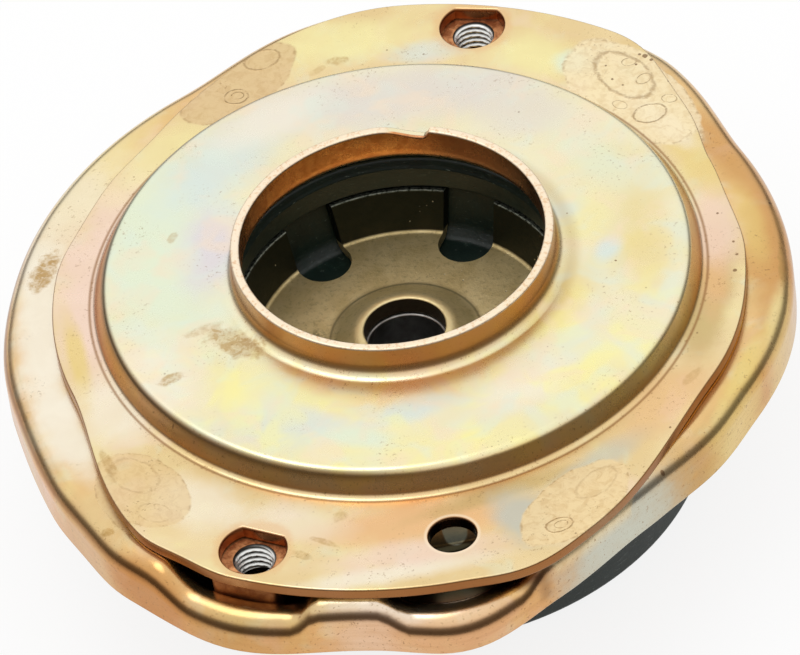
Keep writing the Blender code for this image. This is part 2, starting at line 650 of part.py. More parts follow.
def build_rubber(parts, parent):
    """The moulded ring round the cup, with a lip under the dome and a plug through the pan."""
    lip_top = PLATE_TOP + DOME_HEIGHT - PLATE_SHEET - GAP
    lip_outer = LIP_BORE_RADIUS + LIP_WIDTH
    shoulder = lip_top - RELIEF_DEPTH
    rim_clear = CUP_RIM + GAP
    cup_bottom = CUP_FLOOR - CUP_SHEET - GAP
    cup_foot = cup_wall_radius(CUP_FLOOR)
    floor = PAN_FLOOR + GAP
    flash = PLATE_TOP
    wall_high = pan_wall_radius(shoulder) - GAP
    wall_low = pan_wall_radius(floor + PAN_FILLET) - GAP
    corner = wall_low - PAN_FILLET
    throat = PAN_OPENING_RADIUS - GAP
    plug = SEAT_NECK_RADIUS - RUNNING_GAP
    plug_bottom = PAN_UNDERSIDE - PLUG_LENGTH
    bush_clear = BUSH_RADIUS + GAP
    section = [
        (lip_outer, lip_top),
        (lip_outer + LIP_FLARE, shoulder + RUBBER_EDGE),
        (wall_high - RUBBER_EDGE, shoulder),
        (wall_high, shoulder - RUBBER_EDGE),
        (wall_low, floor + PAN_FILLET),
        (corner + 0.62 * PAN_FILLET, floor + 0.38 * PAN_FILLET),
        (corner, floor),
        (throat, floor),
        (throat, PAN_UNDERSIDE),
        (plug, PAN_UNDERSIDE),
        (plug - PLUG_TAPER, plug_bottom),
        (bush_clear, plug_bottom),
        (bush_clear, cup_bottom),
        (cup_foot - CUP_CORNER, cup_bottom),
        (cup_foot + CUP_SLEEVE_GAP, CUP_FLOOR),
        (cup_wall_radius(rim_clear) + CUP_SLEEVE_GAP, rim_clear),
        (LIP_BORE_RADIUS + RUBBER_GROOVE, rim_clear),
        (LIP_BORE_RADIUS + RUBBER_GROOVE, flash - FLASH_HEIGHT),
        (LIP_BORE_RADIUS - FLASH_REACH, flash),
        (LIP_BORE_RADIUS, flash + FLASH_HEIGHT),
        (LIP_BORE_RADIUS + LIP_DRAFT, lip_top),
    ]
    return turned("rubber_isolator", section, INNER_ROUND_STEPS, parts, parent)


def race_section(side):
    """Section of a race that wraps the balls from above (side 1) or below (side -1)."""
    inside = arc((0, 0), GROOVE_RADIUS, 90 - RACE_WRAP, 90 + RACE_WRAP, 4)
    back = arc((0, 0), RACE_REACH, 90 - RACE_WRAP, 90 + RACE_WRAP, 4)
    brim_top = back[0][1]
    brim_reach = back[0][0] + RACE_BRIM
    brim_low = brim_top - RACE_SHEET
    upper = [(brim_reach, brim_top)] + back + [(-brim_reach, brim_top)]
    lower = [(-brim_reach, brim_low)] + inside[::-1] + [(brim_reach, brim_low)]
    return [(BALL_CIRCLE_RADIUS + x, BALL_HEIGHT + side * z) for x, z in upper + lower]


def build_bearing_ball(number, mesh, parts, parent):
    ball = add_mesh_object(f"bearing_ball_{number + 1:02d}", mesh, parts, parent)
    ball.location = polar(BALL_CIRCLE_RADIUS, 360 * number / BALL_COUNT)
    return ball


def ball_mesh():
    mesh = bpy.data.meshes.new("bearing_ball")
    shape = bmesh.new()
    bmesh.ops.create_icosphere(shape, subdivisions=2, radius=BALL_RADIUS)
    shape.to_mesh(mesh)
    shape.free()
    mesh.shade_smooth()
    return mesh


def build_bearing_cage(parts, parent):
    """A flat moulded ring with a round pocket for each ball."""
    outlines = [
        round_outline(BALL_CIRCLE_RADIUS + GROOVE_RADIUS + CAGE_MARGIN, INNER_ROUND_STEPS),
        round_outline(BALL_CIRCLE_RADIUS - GROOVE_RADIUS - CAGE_MARGIN, INNER_ROUND_STEPS),
    ]
    for number in range(BALL_COUNT):
        centre = polar(BALL_CIRCLE_RADIUS, 360 * number / BALL_COUNT)[:2]
        outlines.append(round_outline(GROOVE_RADIUS, 10, centre))
    half = CAGE_THICKNESS / 2
    cage = extruded_outline("bearing_cage", outlines, -half, half, parts)
    cage.parent = parent
    return settle(cage)


def build_bearing_seal(parts, parent):
    """A rubber ring that stands on the spring seat and closes the outside of the bearing."""
    inner = RACE_OUTER_RADIUS + GAP
    outer = inner + SEAL_WALL
    bottom = SEAT_TOP + GAP
    top = PAN_UNDERSIDE - RUNNING_GAP
    section = [
        (inner + SEAL_LIP_WIDTH, top),
        (outer, top - SEAL_SLOPE),
        (outer, bottom),
        (inner, bottom),
        (inner, top),
    ]
    return turned("bearing_seal", section, INNER_ROUND_STEPS, parts, parent)


def build_spring_seat(parts, parent):
    """A pressed dish: neck up through the bearing, flat seat and a turned-down rim."""
    neck_top = PAN_UNDERSIDE - RUNNING_GAP
    neck_fillet = SEAT_NECK_FILLET + SEAT_SHEET
    rim_centre = (SEAT_RIM_RADIUS - SEAT_RIM_FILLET, SEAT_TOP - SEAT_RIM_FILLET)
    upper = [(SEAT_RIM_RADIUS, SEAT_TOP - SEAT_RIM_DROP)]
    upper += arc(rim_centre, SEAT_RIM_FILLET, 0, 90, 2)
    neck_centre = (SEAT_NECK_RADIUS + SEAT_SHEET + SEAT_NECK_FILLET, SEAT_TOP + SEAT_NECK_FILLET)
    upper += arc(neck_centre, SEAT_NECK_FILLET, 270, 180, 2)
    upper += [(neck_centre[0] - SEAT_NECK_FILLET, neck_top)]
    lower = [(SEAT_NECK_RADIUS, neck_top)]
    lower += arc(neck_centre, neck_fillet, 180, 270, 2)
    lower += arc(rim_centre, SEAT_RIM_FILLET - SEAT_SHEET, 90, 0, 2)
    lower += [(SEAT_RIM_RADIUS - SEAT_SHEET, SEAT_TOP - SEAT_RIM_DROP)]
    return turned("spring_seat", upper + lower, ROUND_STEPS, parts, parent)


def build_spring_pad(parts, parent):
    """The rubber pad between seat and coil spring, with a lip that wraps the seat's rim."""
    rim_bottom = SEAT_TOP - SEAT_RIM_DROP - GAP
    lip_inner = SEAT_RIM_RADIUS + GAP
    pad_top_reach = SEAT_RIM_RADIUS - SEAT_SHEET - GAP
    lip_top = SEAT_TOP - PAD_LIP_DROP
    section = [
        (PAD_OUTER_RADIUS - PAD_LIP_TAPER, lip_top),
        (PAD_OUTER_RADIUS, lip_top - PAD_EDGE),
        (PAD_OUTER_RADIUS, PAD_EDGE),
        (PAD_OUTER_RADIUS - PAD_EDGE, 0),
        (SPRING_GROOVE_OUTER + SPRING_GROOVE_SLOPE, 0),
        (SPRING_GROOVE_OUTER, SPRING_GROOVE_DEPTH),
        (SPRING_GROOVE_INNER, SPRING_GROOVE_DEPTH),
        (SPRING_GROOVE_INNER - SPRING_GROOVE_SLOPE, 0),
        (PAD_INNER_RADIUS + PAD_EDGE, 0),
        (PAD_INNER_RADIUS, PAD_EDGE),
        (PAD_INNER_RADIUS, PAD_THICKNESS),
        (pad_top_reach, PAD_THICKNESS),
        (pad_top_reach, rim_bottom),
        (lip_inner, rim_bottom),
        (lip_inner, lip_top),
    ]
    return turned("spring_pad", section, ROUND_STEPS, parts, parent)


def add_empty(name, height, collection):
    empty = bpy.data.objects.new(name, None)
    collection.objects.link(empty)
    empty.location = (0, 0, height)
    return empty


def give(material, *objects):
    for obj in objects:
        obj.data.materials.clear()
        obj.data.materials.append(material)


def main():
    for obj in list(bpy.data.objects):
        bpy.data.objects.remove(obj)
    scene = bpy.context.scene
    parts = bpy.data.collections.new("strut_mount")
    cutters = bpy.data.collections.new("cutters")
    scene.collection.children.link(parts)
    scene.collection.children.link(cutters)

    housing = add_empty("strut_axis", 0, parts)
    swivel = add_empty("seat_swivel_axis", 0, parts)
    orbit = add_empty("ball_orbit_axis", BALL_HEIGHT, parts)

    plate = build_top_plate(parts, cutters, housing)
    pan = build_pan(parts, housing)
    rear = ("weld_nut_rear", REAR_BOLT_RADIUS, REAR_BOLT_ANGLE)
    front = ("weld_nut_front", FRONT_BOLT_RADIUS, FRONT_BOLT_ANGLE)
    nuts = [build_weld_nut(*place, parts, cutters, housing) for place in (rear, front)]
    cup = build_inner_cup(parts, cutters, housing)
    bush = build_rod_bush(parts, housing)
    rubber = build_rubber(parts, housing)
    upper_race = turned("bearing_upper_race", race_section(1), INNER_ROUND_STEPS, parts, housing)

    cage = build_bearing_cage(parts, orbit)
    shared_ball = ball_mesh()
    for number in range(BALL_COUNT):
        build_bearing_ball(number, shared_ball, parts, orbit)

    lower_race = turned("bearing_lower_race", race_section(-1), INNER_ROUND_STEPS, parts, swivel)
    seal = build_bearing_seal(parts, swivel)
    seat = build_spring_seat(parts, swivel)
    pad = build_spring_pad(parts, swivel)

    give(new_material("yellow_zinc_plate", (0.80, 0.66, 0.38), 0.30, 1.0), plate)
    give(new_material("yellow_zinc_pan", (0.78, 0.58, 0.30), 0.26, 1.0), pan)
    give(new_material("weld_nut_steel", (0.45, 0.33, 0.22), 0.45, 1.0), *nuts)
    give(new_material("olive_plated_cup", (0.36, 0.31, 0.19), 0.45, 0.8), cup)
    give(new_material("bare_steel", (0.45, 0.44, 0.42), 0.35, 1.0), bush)
    give(new_material("bearing_steel", (0.56, 0.56, 0.57), 0.22, 1.0), upper_race, lower_race)
    shared_ball.materials.append(new_material("ball_steel", (0.72, 0.72, 0.73), 0.10, 1.0))
    give(new_material("moulded_cage", (0.72, 0.68, 0.58), 0.50, 0.0), cage)
    give(new_material("moulded_rubber", (0.020, 0.026, 0.023), 0.55, 0.0), rubber)
    give(new_material("seal_rubber", (0.018, 0.019, 0.020), 0.60, 0.0), seal)
    give(new_material("black_coated_seat", (0.022, 0.023, 0.024), 0.38, 0.0), seat)
    give(new_material("pad_rubber", (0.035, 0.045, 0.040), 0.60, 0.0), pad)


main()
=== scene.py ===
"""Looks of the strut mount: finer pressed sheets, threads, plating, rubber, floor and light."""

import functools
import math
import random

import bmesh
import bpy
from mathutils import Matrix, Vector


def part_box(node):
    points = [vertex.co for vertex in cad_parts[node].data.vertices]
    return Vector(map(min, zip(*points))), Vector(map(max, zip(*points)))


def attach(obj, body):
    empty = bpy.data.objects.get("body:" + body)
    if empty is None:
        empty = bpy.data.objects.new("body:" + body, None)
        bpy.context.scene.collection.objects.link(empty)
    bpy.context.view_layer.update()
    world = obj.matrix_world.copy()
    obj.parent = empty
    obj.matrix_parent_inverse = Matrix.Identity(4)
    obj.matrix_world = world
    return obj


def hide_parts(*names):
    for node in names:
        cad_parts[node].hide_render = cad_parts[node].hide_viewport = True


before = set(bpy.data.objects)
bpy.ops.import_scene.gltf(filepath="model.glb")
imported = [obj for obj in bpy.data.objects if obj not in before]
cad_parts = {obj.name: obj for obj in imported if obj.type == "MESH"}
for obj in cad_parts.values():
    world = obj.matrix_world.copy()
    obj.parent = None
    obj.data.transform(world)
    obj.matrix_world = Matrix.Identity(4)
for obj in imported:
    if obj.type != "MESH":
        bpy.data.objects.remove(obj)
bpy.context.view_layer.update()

MM = 0.001

# Heights in millimetres above the ground
SEAT_TOP = 9.1
BALL_HEIGHT = 14.3
PAN_FLOOR = 22.0
CUP_FLOOR = 28.0
PAN_SKIRT = 29.0
CUP_RIM = 37.0
PAN_FLANGE = 40.2
PLATE_UNDERSIDE = 40.5
PLATE_TOP = 43.0
DOME_EDGE = 47.95
DOME_MIDDLE = 48.5
COLLAR_TOP = 55.0

# Widths in millimetres from the strut axis
DOME_BASE = 58.0
DOME_SHOULDER = 55.75
COLLAR_OUTER = 30.8
COLLAR_INNER = 29.0
POCKET_FOOT = 64.0
POCKET_TOP = 60.5
PAN_MOUTH = 48.5
PAN_WALL_FOOT = 47.0
PAN_OPENING = 25.0
SHEET = 2.5
BEAD = 4.5
POCKET_LIP = 1.4
POCKET_DROP = 6.8
POCKET_EDGE_DROP = 3.5
CUP_SHEET = 2.0
CUP_BORE = 7.8
CUP_SLOT = 5.3
CUP_SLOT_PLACE = 27.4
SEAT_NECK = 24.4
BALL_CIRCLE = 36.0
BALL_RADIUS = 3.0
RACE_GROOVE = 3.3
RACE_BACK = 4.9
RACE_HALF_WIDTH = 7.643

# Holes: distance from the strut axis and direction in degrees
REAR_HOLE = (71.8, 72.6)
FRONT_HOLE = (73.8, -117.2)
PILOT_HOLE = (69.5, -87.4)
POCKETS = (REAR_HOLE[1], FRONT_HOLE[1], PILOT_HOLE[1])
D_RADIUS = 6.2
D_FLAT = 4.6
D_FACING = {REAR_HOLE: 76.0, FRONT_HOLE: 61.0}
PILOT_BORE = 4.4
D_FLARE = 0.55
PILOT_FLARE = 0.35
NUT_SIDE = 13.0
NUT_SQUARENESS = 12.4
NUT_LOW = 33.7
NUT_HIGH = 40.2
THREAD_MINOR = 3.4
THREAD_MAJOR = 3.97
THREAD_PITCH = 1.25

SMOOTH_LIMIT = math.radians(38)
FLOOR_RADIUS = 0.36

# The room's brightness from level (0) to straight up (1), and what it is multiplied by
ROOM_LEVELS = ((0.0, 0.16), (0.28, 0.2), (0.42, 0.5), (0.56, 0.8), (0.74, 0.86), (1.0, 0.9))
ROOM_STRENGTH = 1.3

# Small swells of the edges: direction and half width in degrees, then how far out
PLATE_EDGE_SWELLS = (
    (138, 17, -1.0),
    (153, 14, -1.2),
    (-126, 8, -1.2),
    (-78, 10, 0.9),
    (-30, 26, 1.0),
    (9, 14, -1.0),
    (27, 8, 0.6),
    (39, 9, -0.7),
)
PAN_EDGE_SWELLS = (
    (-173, 24, 0.9),
    (-144, 9, -0.7),
    (-42, 12, 0.8),
    (36, 14, 0.5),
    (57, 15, -2.2),
    (86, 9, -1.4),
    (102, 17, 1.3),
)


def smooth_step(value, start, end):
    share = min(1.0, max(0.0, (value - start) / (end - start)))
    return share * share * (3 - 2 * share)


def angle_between(angle, centre):
    return (angle - centre + 180) % 360 - 180


def plateau(angle, rise_start, rise_end, fall_start, fall_end):
    """1 between rise_end and fall_start, 0 outside the outer two angles."""
    centre = (rise_end + fall_start) / 2
    turn = angle_between(angle, centre)
    rise = smooth_step(turn, rise_start - centre, rise_end - centre)
    fall = smooth_step(turn, fall_start - centre, fall_end - centre)
    return rise * (1 - fall)


def swell(angle, centre, half_width):
    turn = abs(angle_between(angle, centre))
    return math.cos(math.pi / 2 * min(1.0, turn / half_width)) ** 2


def unevenness(angle, swells):
    return sum(reach * swell(angle, centre, half_width) for centre, half_width, reach in swells)


def plate_edge(angle):
    far = 11.8 * plateau(angle, 19, 52, 84, 134)
    near = 15.6 * plateau(angle, -165, -122, -84, -34)
    return 66.2 + far + near + unevenness(angle, PLATE_EDGE_SWELLS)


def pan_edge(angle):
    side = 75.3 - 0.5 * math.cos(math.radians(angle))
    lobes = plateau(angle, 22, 58, 80, 120) + plateau(angle, -172, -128, -92, -58)
    bulge = 3.3 * swell(angle, POCKETS[0], 16) + 2.9 * swell(angle, POCKETS[1], 16)
    bulge += 2.8 * swell(angle, POCKETS[2], 13)
    dip = 2.7 * swell(angle, -45, 35)
    return side + 8.7 * lobes + bulge - dip + unevenness(angle, PAN_EDGE_SWELLS)


def pocket_share(angle):
    """1 in a pocket of the pan, 0 between pockets; the front one's left wall is gentle."""
    walls = ((-11.75, -7.25, 7.25, 11.75), (-12.5, -5.8, 7.5, 10.6), (-11.75, -7.25, 7.25, 11.75))
    return max(plateau(angle, *(at + turn for turn in wall)) for at, wall in zip(POCKETS, walls))


def polar(place):
    """(distance, direction in degrees) as x and y."""
    return place[0] * math.cos(math.radians(place[1])), place[0] * math.sin(math.radians(place[1]))


def wobble(angle, seed, strength):
    """An even, closed unevenness round the axis, the same on each run."""
    source = random.Random(seed)
    total = 0.0
    for waves in range(2, 15):
        phase = source.uniform(0, 2 * math.pi)
        total += math.sin(math.radians(angle) * waves + phase) * source.uniform(0.4, 1.0) / waves
    return total * strength


def filleted(corners):
    """A closed section through (x, z, reach, steps) corners, each rounded over its reach."""
    outline = []
    count = len(corners)
    points = [Vector(corner[:2]) for corner in corners]
    for index, (_, _, reach, steps) in enumerate(corners):
        here = points[index]
        for other in (index - 1, (index + 1) % count):
            wanted = reach + corners[other][2]
            length = (points[other] - here).length
            if wanted > length:
                reach = min(reach, 0.98 * length * corners[index][2] / wanted)
        if steps == 0:
            outline.append(here)
            continue
        first = (points[index - 1] - here).normalized()
        last = (points[(index + 1) % count] - here).normalized()
        sweep = math.pi - first.angle(last)
        start = here + first * reach
        end = here + last * reach
        if sweep < 0.02:
            outline += [start.lerp(end, step / steps) for step in range(steps + 1)]
            continue
        centre = here + (first + last).normalized() * (reach / math.sin(sweep / 2))
        for step in range(steps + 1):
            share = step / steps
            a = math.sin((1 - share) * sweep) / math.sin(sweep)
            b = math.sin(share * sweep) / math.sin(sweep)
            outline.append(centre + (start - centre) * a + (end - centre) * b)
    return outline


def under_side(corners, thickness):
    """The corners of a bent sheet's lower side, for the path of its upper side."""
    lower = []
    for index, (x, z, reach, steps) in enumerate(corners):
        here = Vector((x, z))
        before = Vector(corners[max(index - 1, 0)][:2])
        after = Vector(corners[min(index + 1, len(corners) - 1)][:2])
        runs = [run.normalized() for run in (here - before, after - here) if run.length > 0]
        normals = [Vector((-run.y, run.x)) for run in runs]
        mean = normals[0] + normals[-1]
        moved = here + mean * (thickness / (1 + normals[0].dot(normals[-1])))
        inner = reach
        if len(runs) == 2:
            turn = max(-1.0, min(1.0, runs[0].cross(runs[1])))
            inner = max(0.2, reach - thickness * math.tan(math.asin(turn) / 2))
        lower.append((moved.x, moved.y, inner, steps))
    return lower


def sheet(corners, thickness):
    """The closed section of a bent sheet whose upper side is the path of corners."""
    return filleted(corners + under_side(corners, thickness)[::-1])


def added(name, data):
    """A new object, linked into the scene."""
    made = bpy.data.objects.new(name, data)
    bpy.context.scene.collection.objects.link(made)
    return made


def finish_mesh(name, shape):
    """An object in metres from a shape in millimetres."""
    bmesh.ops.recalc_face_normals(shape, faces=shape.faces)
    mesh = bpy.data.meshes.new(name)
    shape.to_mesh(mesh)
    shape.free()
    mesh.transform(Matrix.Scale(MM, 4))
    return added(name, mesh)


def lofted(name, section_at, angles):
    """A closed section, in millimetres, that changes as it goes round the strut axis."""
    shape = bmesh.new()
    rings = []
    for angle in angles:
        c = math.cos(math.radians(angle))
        s = math.sin(math.radians(angle))
        rings.append([shape.verts.new((r * c, r * s, z)) for r, z in section_at(angle)])
    for ring, following in zip(rings, rings[1:] + rings[:1]):
        for index, corner in enumerate(ring):
            after = (index + 1) % len(ring)
            shape.faces.new((corner, following[index], following[after], ring[after]))
    return finish_mesh(name, shape)


def turned(name, corners, steps=128):
    section = filleted(corners)
    return lofted(name, lambda angle: section, [360 * step / steps for step in range(steps)])


def stacked(name, layers):
    """A closed solid through level outlines that all have the same number of points."""
    shape = bmesh.new()
    rings = [[shape.verts.new((x, y, z)) for x, y in outline] for outline, z in layers]
    for ring, following in zip(rings, rings[1:]):
        for index, corner in enumerate(ring):
            after = (index + 1) % len(ring)
            shape.faces.new((corner, ring[after], following[after], following[index]))
    shape.faces.new(rings[0][::-1])
    shape.faces.new(rings[-1])
    return finish_mesh(name, shape)


def d_outline(place, radius, flat, steps=56):
    """A circle with one flat side, walked evenly."""
    centre = polar(place)
    half = math.acos(flat / radius)
    facing = math.radians(D_FACING[place])
    flat_steps = steps // 4
    points = []
    for step in range(steps - flat_steps + 1):
        turn = facing + half + (2 * math.pi - 2 * half) * step / (steps - flat_steps)
        points.append((centre[0] + radius * math.cos(turn), centre[1] + radius * math.sin(turn)))
    start = Vector(points[-1])
    end = Vector(points[0])
    points += [tuple(start.lerp(end, step / flat_steps)) for step in range(1, flat_steps)]
    return points


def ring_outline(centre, radius, steps):
    turns = [2 * math.pi * step / steps for step in range(steps)]
    return [(centre[0] + radius * math.cos(t), centre[1] + radius * math.sin(t)) for t in turns]


def settle(piece):
    """Applies the modifiers, shades the piece smooth and evens its normals."""
    bpy.context.view_layer.update()
    graph = bpy.context.evaluated_depsgraph_get()
    mesh = bpy.data.meshes.new_from_object(piece.evaluated_get(graph))
    piece.modifiers.clear()
    piece.data = mesh
    mesh.shade_smooth()
    mesh.set_sharp_from_angle(angle=SMOOTH_LIMIT)
    even = piece.modifiers.new("Even normals", "WEIGHTED_NORMAL")
    even.keep_sharp = True
    return piece


def carve(piece, cutters):
    for cutter in cutters:
        boolean = piece.modifiers.new(cutter.name, "BOOLEAN")
        boolean.operation = "DIFFERENCE"
        boolean.solver = "EXACT"
        boolean.object = cutter
    settle(piece)
    for cutter in cutters:
        bpy.data.objects.remove(cutter)
    return piece


def place(piece, body, slot, *nodes):
    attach(piece, body)
    if nodes:
        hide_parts(*nodes)
    return piece


def paint(piece, material):
    piece.data.materials.clear()
    piece.data.materials.append(material)


# Shader building


class Number:
    """A value in a material's nodes, used like a number."""

    def __init__(self, graph, socket):
        self.graph = graph
        self.socket = socket

    def joined(self, operation, first, second=0.0, third=0.0, clamp=False):
        settings = {"operation": operation, "use_clamp": clamp}
        values = {0: first, 1: second, 2: third}
        return Number(self.graph, self.graph.node("ShaderNodeMath", settings, values).outputs[0])

    def __add__(self, other):
        return self.joined("ADD", self, other)

    def __radd__(self, other):
        return self.joined("ADD", other, self)

    def __sub__(self, other):
        return self.joined("SUBTRACT", self, other)

    def __rsub__(self, other):
        return self.joined("SUBTRACT", other, self)

    def __mul__(self, other):
        return self.joined("MULTIPLY", self, other)

    def __rmul__(self, other):
        return self.joined("MULTIPLY", other, self)

    def __pow__(self, other):
        return self.joined("POWER", self, other)

    def __abs__(self):
        return self.joined("ABSOLUTE", self)

    def times_plus(self, factor, addend):
        return self.joined("MULTIPLY_ADD", self, factor, addend)

    def at_most(self, other):
        return self.joined("MINIMUM", self, other)

    def at_least(self, other):
        return self.joined("MAXIMUM", self, other)

    def clamped(self):
        return self.joined("ADD", self, 0.0, clamp=True)

    def rising(self, start, end):
        """0 below start, 1 above end, smooth between."""
        settings = {"interpolation_type": "SMOOTHSTEP"}
        return Number(
            self.graph,
            self.graph.node("ShaderNodeMapRange", settings, {0: self, 1: start, 2: end}).outputs[0],
        )

    def band(self, centre, width):
        """1 at centre, falling to 0 at a width on each side."""
        return 1 - abs(self - centre).rising(0.0, width)


def most(shares):
    """The greatest of several numbers at each place."""
    return functools.reduce(Number.at_least, shares)


def fill(ramp, stops):
    while len(ramp.elements) < len(stops):
        ramp.elements.new(0.5)
    for element, (position, colour) in zip(ramp.elements, stops):
        element.position = position
        element.color = (*colour, 1)


class Graph:
    """The nodes of one material or of the world."""

    def __init__(self, tree):
        self.tree = tree

    def node(self, kind, settings, values):
        """A node with its settings made first, then its sockets given values or links."""
        made = self.tree.nodes.new(kind)
        for name, value in settings.items():
            if name == "stops":
                fill(made.color_ramp, value)
            else:
                setattr(made, name, value)
        for key, value in values.items():
            self.feed(made.inputs[key], value)
        return made

    def feed(self, socket, value):
        if isinstance(value, Number):
            self.tree.links.new(value.socket, socket)
        elif isinstance(value, bpy.types.NodeSocket):
            self.tree.links.new(value, socket)
        elif isinstance(value, (tuple, list)) and len(value) == 3 and len(socket.default_value) == 4:
            socket.default_value = (*value, 1)
        else:
            socket.default_value = value

    def seen(self):
        """1 for the camera and for what glass lets through, and 1 for what metal mirrors."""
        path = self.node("ShaderNodeLightPath", {}, {})
        straight = Number(self, path.outputs["Is Camera Ray"])
        through = Number(self, path.outputs["Is Transmission Ray"])
        return straight.at_least(through), Number(self, path.outputs["Is Glossy Ray"])


class Finish(Graph):
    """One material, its nodes and the places they are reckoned from, in millimetres."""

    def __init__(self, name, metallic=0.0, specular=0.5, ior=1.5):
        self.material = bpy.data.materials.new(name)
        self.material.use_nodes = True
        super().__init__(self.material.node_tree)
        self.shader = self.tree.nodes["Principled BSDF"]
        self.shader.inputs["Metallic"].default_value = metallic
        self.shader.inputs["IOR"].default_value = ior
        self.shader.inputs["Specular IOR Level"].default_value = specular
        seat = self.node("ShaderNodeTexCoord", {}, {})
        scaled = {"operation": "SCALE"}
        self.where = self.node(
            "ShaderNodeVectorMath", scaled, {0: seat.outputs["Object"], 3: 1000.0}
        ).outputs[0]
        split = self.node("ShaderNodeSeparateXYZ", {}, {0: self.where})
        self.x, self.y, self.z = (Number(self, out) for out in split.outputs)
        facing = self.node("ShaderNodeSeparateXYZ", {}, {0: seat.outputs["Normal"]})
        self.up = Number(self, facing.outputs[2])
        self.radius = (self.x * self.x + self.y * self.y) ** 0.5
        self.lumps = {}

    def noise(self, size, detail=3.0, roughness=0.5, twist=0.0, shift=0.0, where=None):
        """Cloudy noise from 0 to 1, with lumps of about a size in millimetres."""
        moved = self.node(
            "ShaderNodeVectorMath", {"operation": "ADD"}, {0: where or self.where, 1: (shift,) * 3}
        )
        values = {
            "Vector": moved.outputs[0],
            "Scale": 1.0 / size,
            "Detail": detail,
            "Roughness": roughness,
            "Distortion": twist,
        }
        return Number(self, self.node("ShaderNodeTexNoise", {}, values).outputs[0])

    def stretched(self, x, y, z):
        """The place, with lumps made longer along some directions."""
        values = {"Vector": self.where, "Scale": (1 / x, 1 / y, 1 / z)}
        return self.node("ShaderNodeMapping", {}, values).outputs[0]

    def cells(self, size):
        """Distance from the nearest of many scattered points, 0 at the point."""
        values = {"Vector": self.where, "Scale": 1.0 / size}
        return Number(self, self.node("ShaderNodeTexVoronoi", {}, values).outputs[0])

    def spot(self, x, y, width, length, turn=0.0, ragged=0.0, lumps=4.0):
        """Distance from a place in plan, 1 on an oval round it, made ragged by lumps of noise."""
        c = math.cos(math.radians(turn))
        s = math.sin(math.radians(turn))
        along = self.y.times_plus(s / length, self.x.times_plus(c / length, -(x * c + y * s) / length))
        across = self.y.times_plus(c / width, self.x.times_plus(-s / width, (x * s - y * c) / width))
        distance = across.times_plus(across, along * along) ** 0.5
        if ragged:
            distance = self.lumpy(lumps).times_plus(ragged, distance)
        return distance

    def lumpy(self, size):
        """Noise round 0, made once for each size and used wherever an outline is ragged."""
        if size not in self.lumps:
            self.lumps[size] = self.noise(size, 4.0, 0.6, 0.0, 100 + size) - 0.5
        return self.lumps[size]

    def drawn(self, size, length):
        """Streaks that run round the strut axis, as a drawn sheet has them on its bends."""
        values = {0: self.x * (1 / length), 1: self.y * (1 / length), 2: self.z * (1 / size)}
        where = self.node("ShaderNodeCombineXYZ", {}, values).outputs[0]
        return self.noise(1.0, 3.0, 0.6, 0.0, 55.0, where)

    def steep(self):
        """1 on walls, 0 on level surfaces."""
        return 1 - abs(self.up).rising(0.42, 0.9)

    def mix(self, factor, first, second, blend="MIX"):
        settings = {"data_type": "RGBA", "blend_type": blend, "clamp_factor": True}
        return self.node("ShaderNodeMix", settings, {0: factor, 6: first, 7: second}).outputs[2]

    def colour(self, value):
        self.feed(self.shader.inputs["Base Color"], value)

    def rough(self, value):
        self.feed(self.shader.inputs["Roughness"], value)

    def bump(self, height, depth, before=None):
        """Raises the surface by height, in units of depth millimetres."""
        values = {"Height": height, "Strength": 1.0, "Distance": depth * MM}
        if before:
            values["Normal"] = before
        made = self.node("ShaderNodeBump", {}, values).outputs[0]
        self.feed(self.shader.inputs["Normal"], made)
        return made


# Pressed sheets


def plate_section(angle):
    notch = 1.7 * plateau(angle, 70.3, 71.8, 74.0, 90.0)
    rim = COLLAR_TOP - 0.12 - notch + wobble(angle, 5, 0.05)
    lean = wobble(angle, 8, 0.07)
    upper = [
        (plate_edge(angle), PLATE_TOP, 0.45, 3),
        (DOME_BASE + 0.1, PLATE_TOP, 1.0, 6),
        (DOME_SHOULDER, DOME_EDGE, 1.3, 10),
        (COLLAR_OUTER, DOME_MIDDLE, 2.5, 8),
    ]
    collar = [
        (COLLAR_OUTER + lean, rim, 0.45, 4),
        (COLLAR_INNER + lean, rim, 0.45, 4),
        (COLLAR_INNER, DOME_MIDDLE - SHEET, 4.2, 8),
    ]
    return filleted(upper + collar + under_side(upper, SHEET)[2::-1])


def pan_section(angle):
    reach = pan_edge(angle)
    share = pocket_share(angle)
    crest = PAN_FLANGE - POCKET_EDGE_DROP * share
    pocket = PAN_FLANGE - POCKET_DROP * share
    upper = [
        (reach, PAN_SKIRT, 0.5, 3),
        (reach, crest, BEAD, 14),
        (reach - BEAD - 1.8, crest, 0.7, 4),
        (reach - BEAD - 1.8 - POCKET_LIP, pocket, 0.9, 5),
        (POCKET_FOOT, pocket, 1.6, 6),
        (POCKET_TOP, PAN_FLANGE, 1.6, 6),
        (PAN_MOUTH, PAN_FLANGE, 4.0, 8),
        (PAN_WALL_FOOT, PAN_FLOOR, 4.0, 8),
        (PAN_OPENING, PAN_FLOOR, 0.3, 2),
    ]
    return sheet(upper, SHEET)


def hole_cutter(name, outline_at):
    """A cutter for a hole in the plate whose upper edge flares like a pressed one."""
    flare = [(0.0, PLATE_UNDERSIDE - 1), (0.0, PLATE_TOP - 0.75), (0.12, PLATE_TOP - 0.42)]
    flare += [(0.45, PLATE_TOP - 0.15), (1.0, PLATE_TOP + 0.02), (1.1, PLATE_TOP + 1)]
    return stacked(name, [(outline_at(grow), z) for grow, z in flare])


def d_hole(place, grow):
    return d_outline(place, D_RADIUS + D_FLARE * grow, D_FLAT + D_FLARE * grow)


def pilot_hole(grow):
    return ring_outline(polar(PILOT_HOLE), PILOT_BORE + PILOT_FLARE * grow, 64)


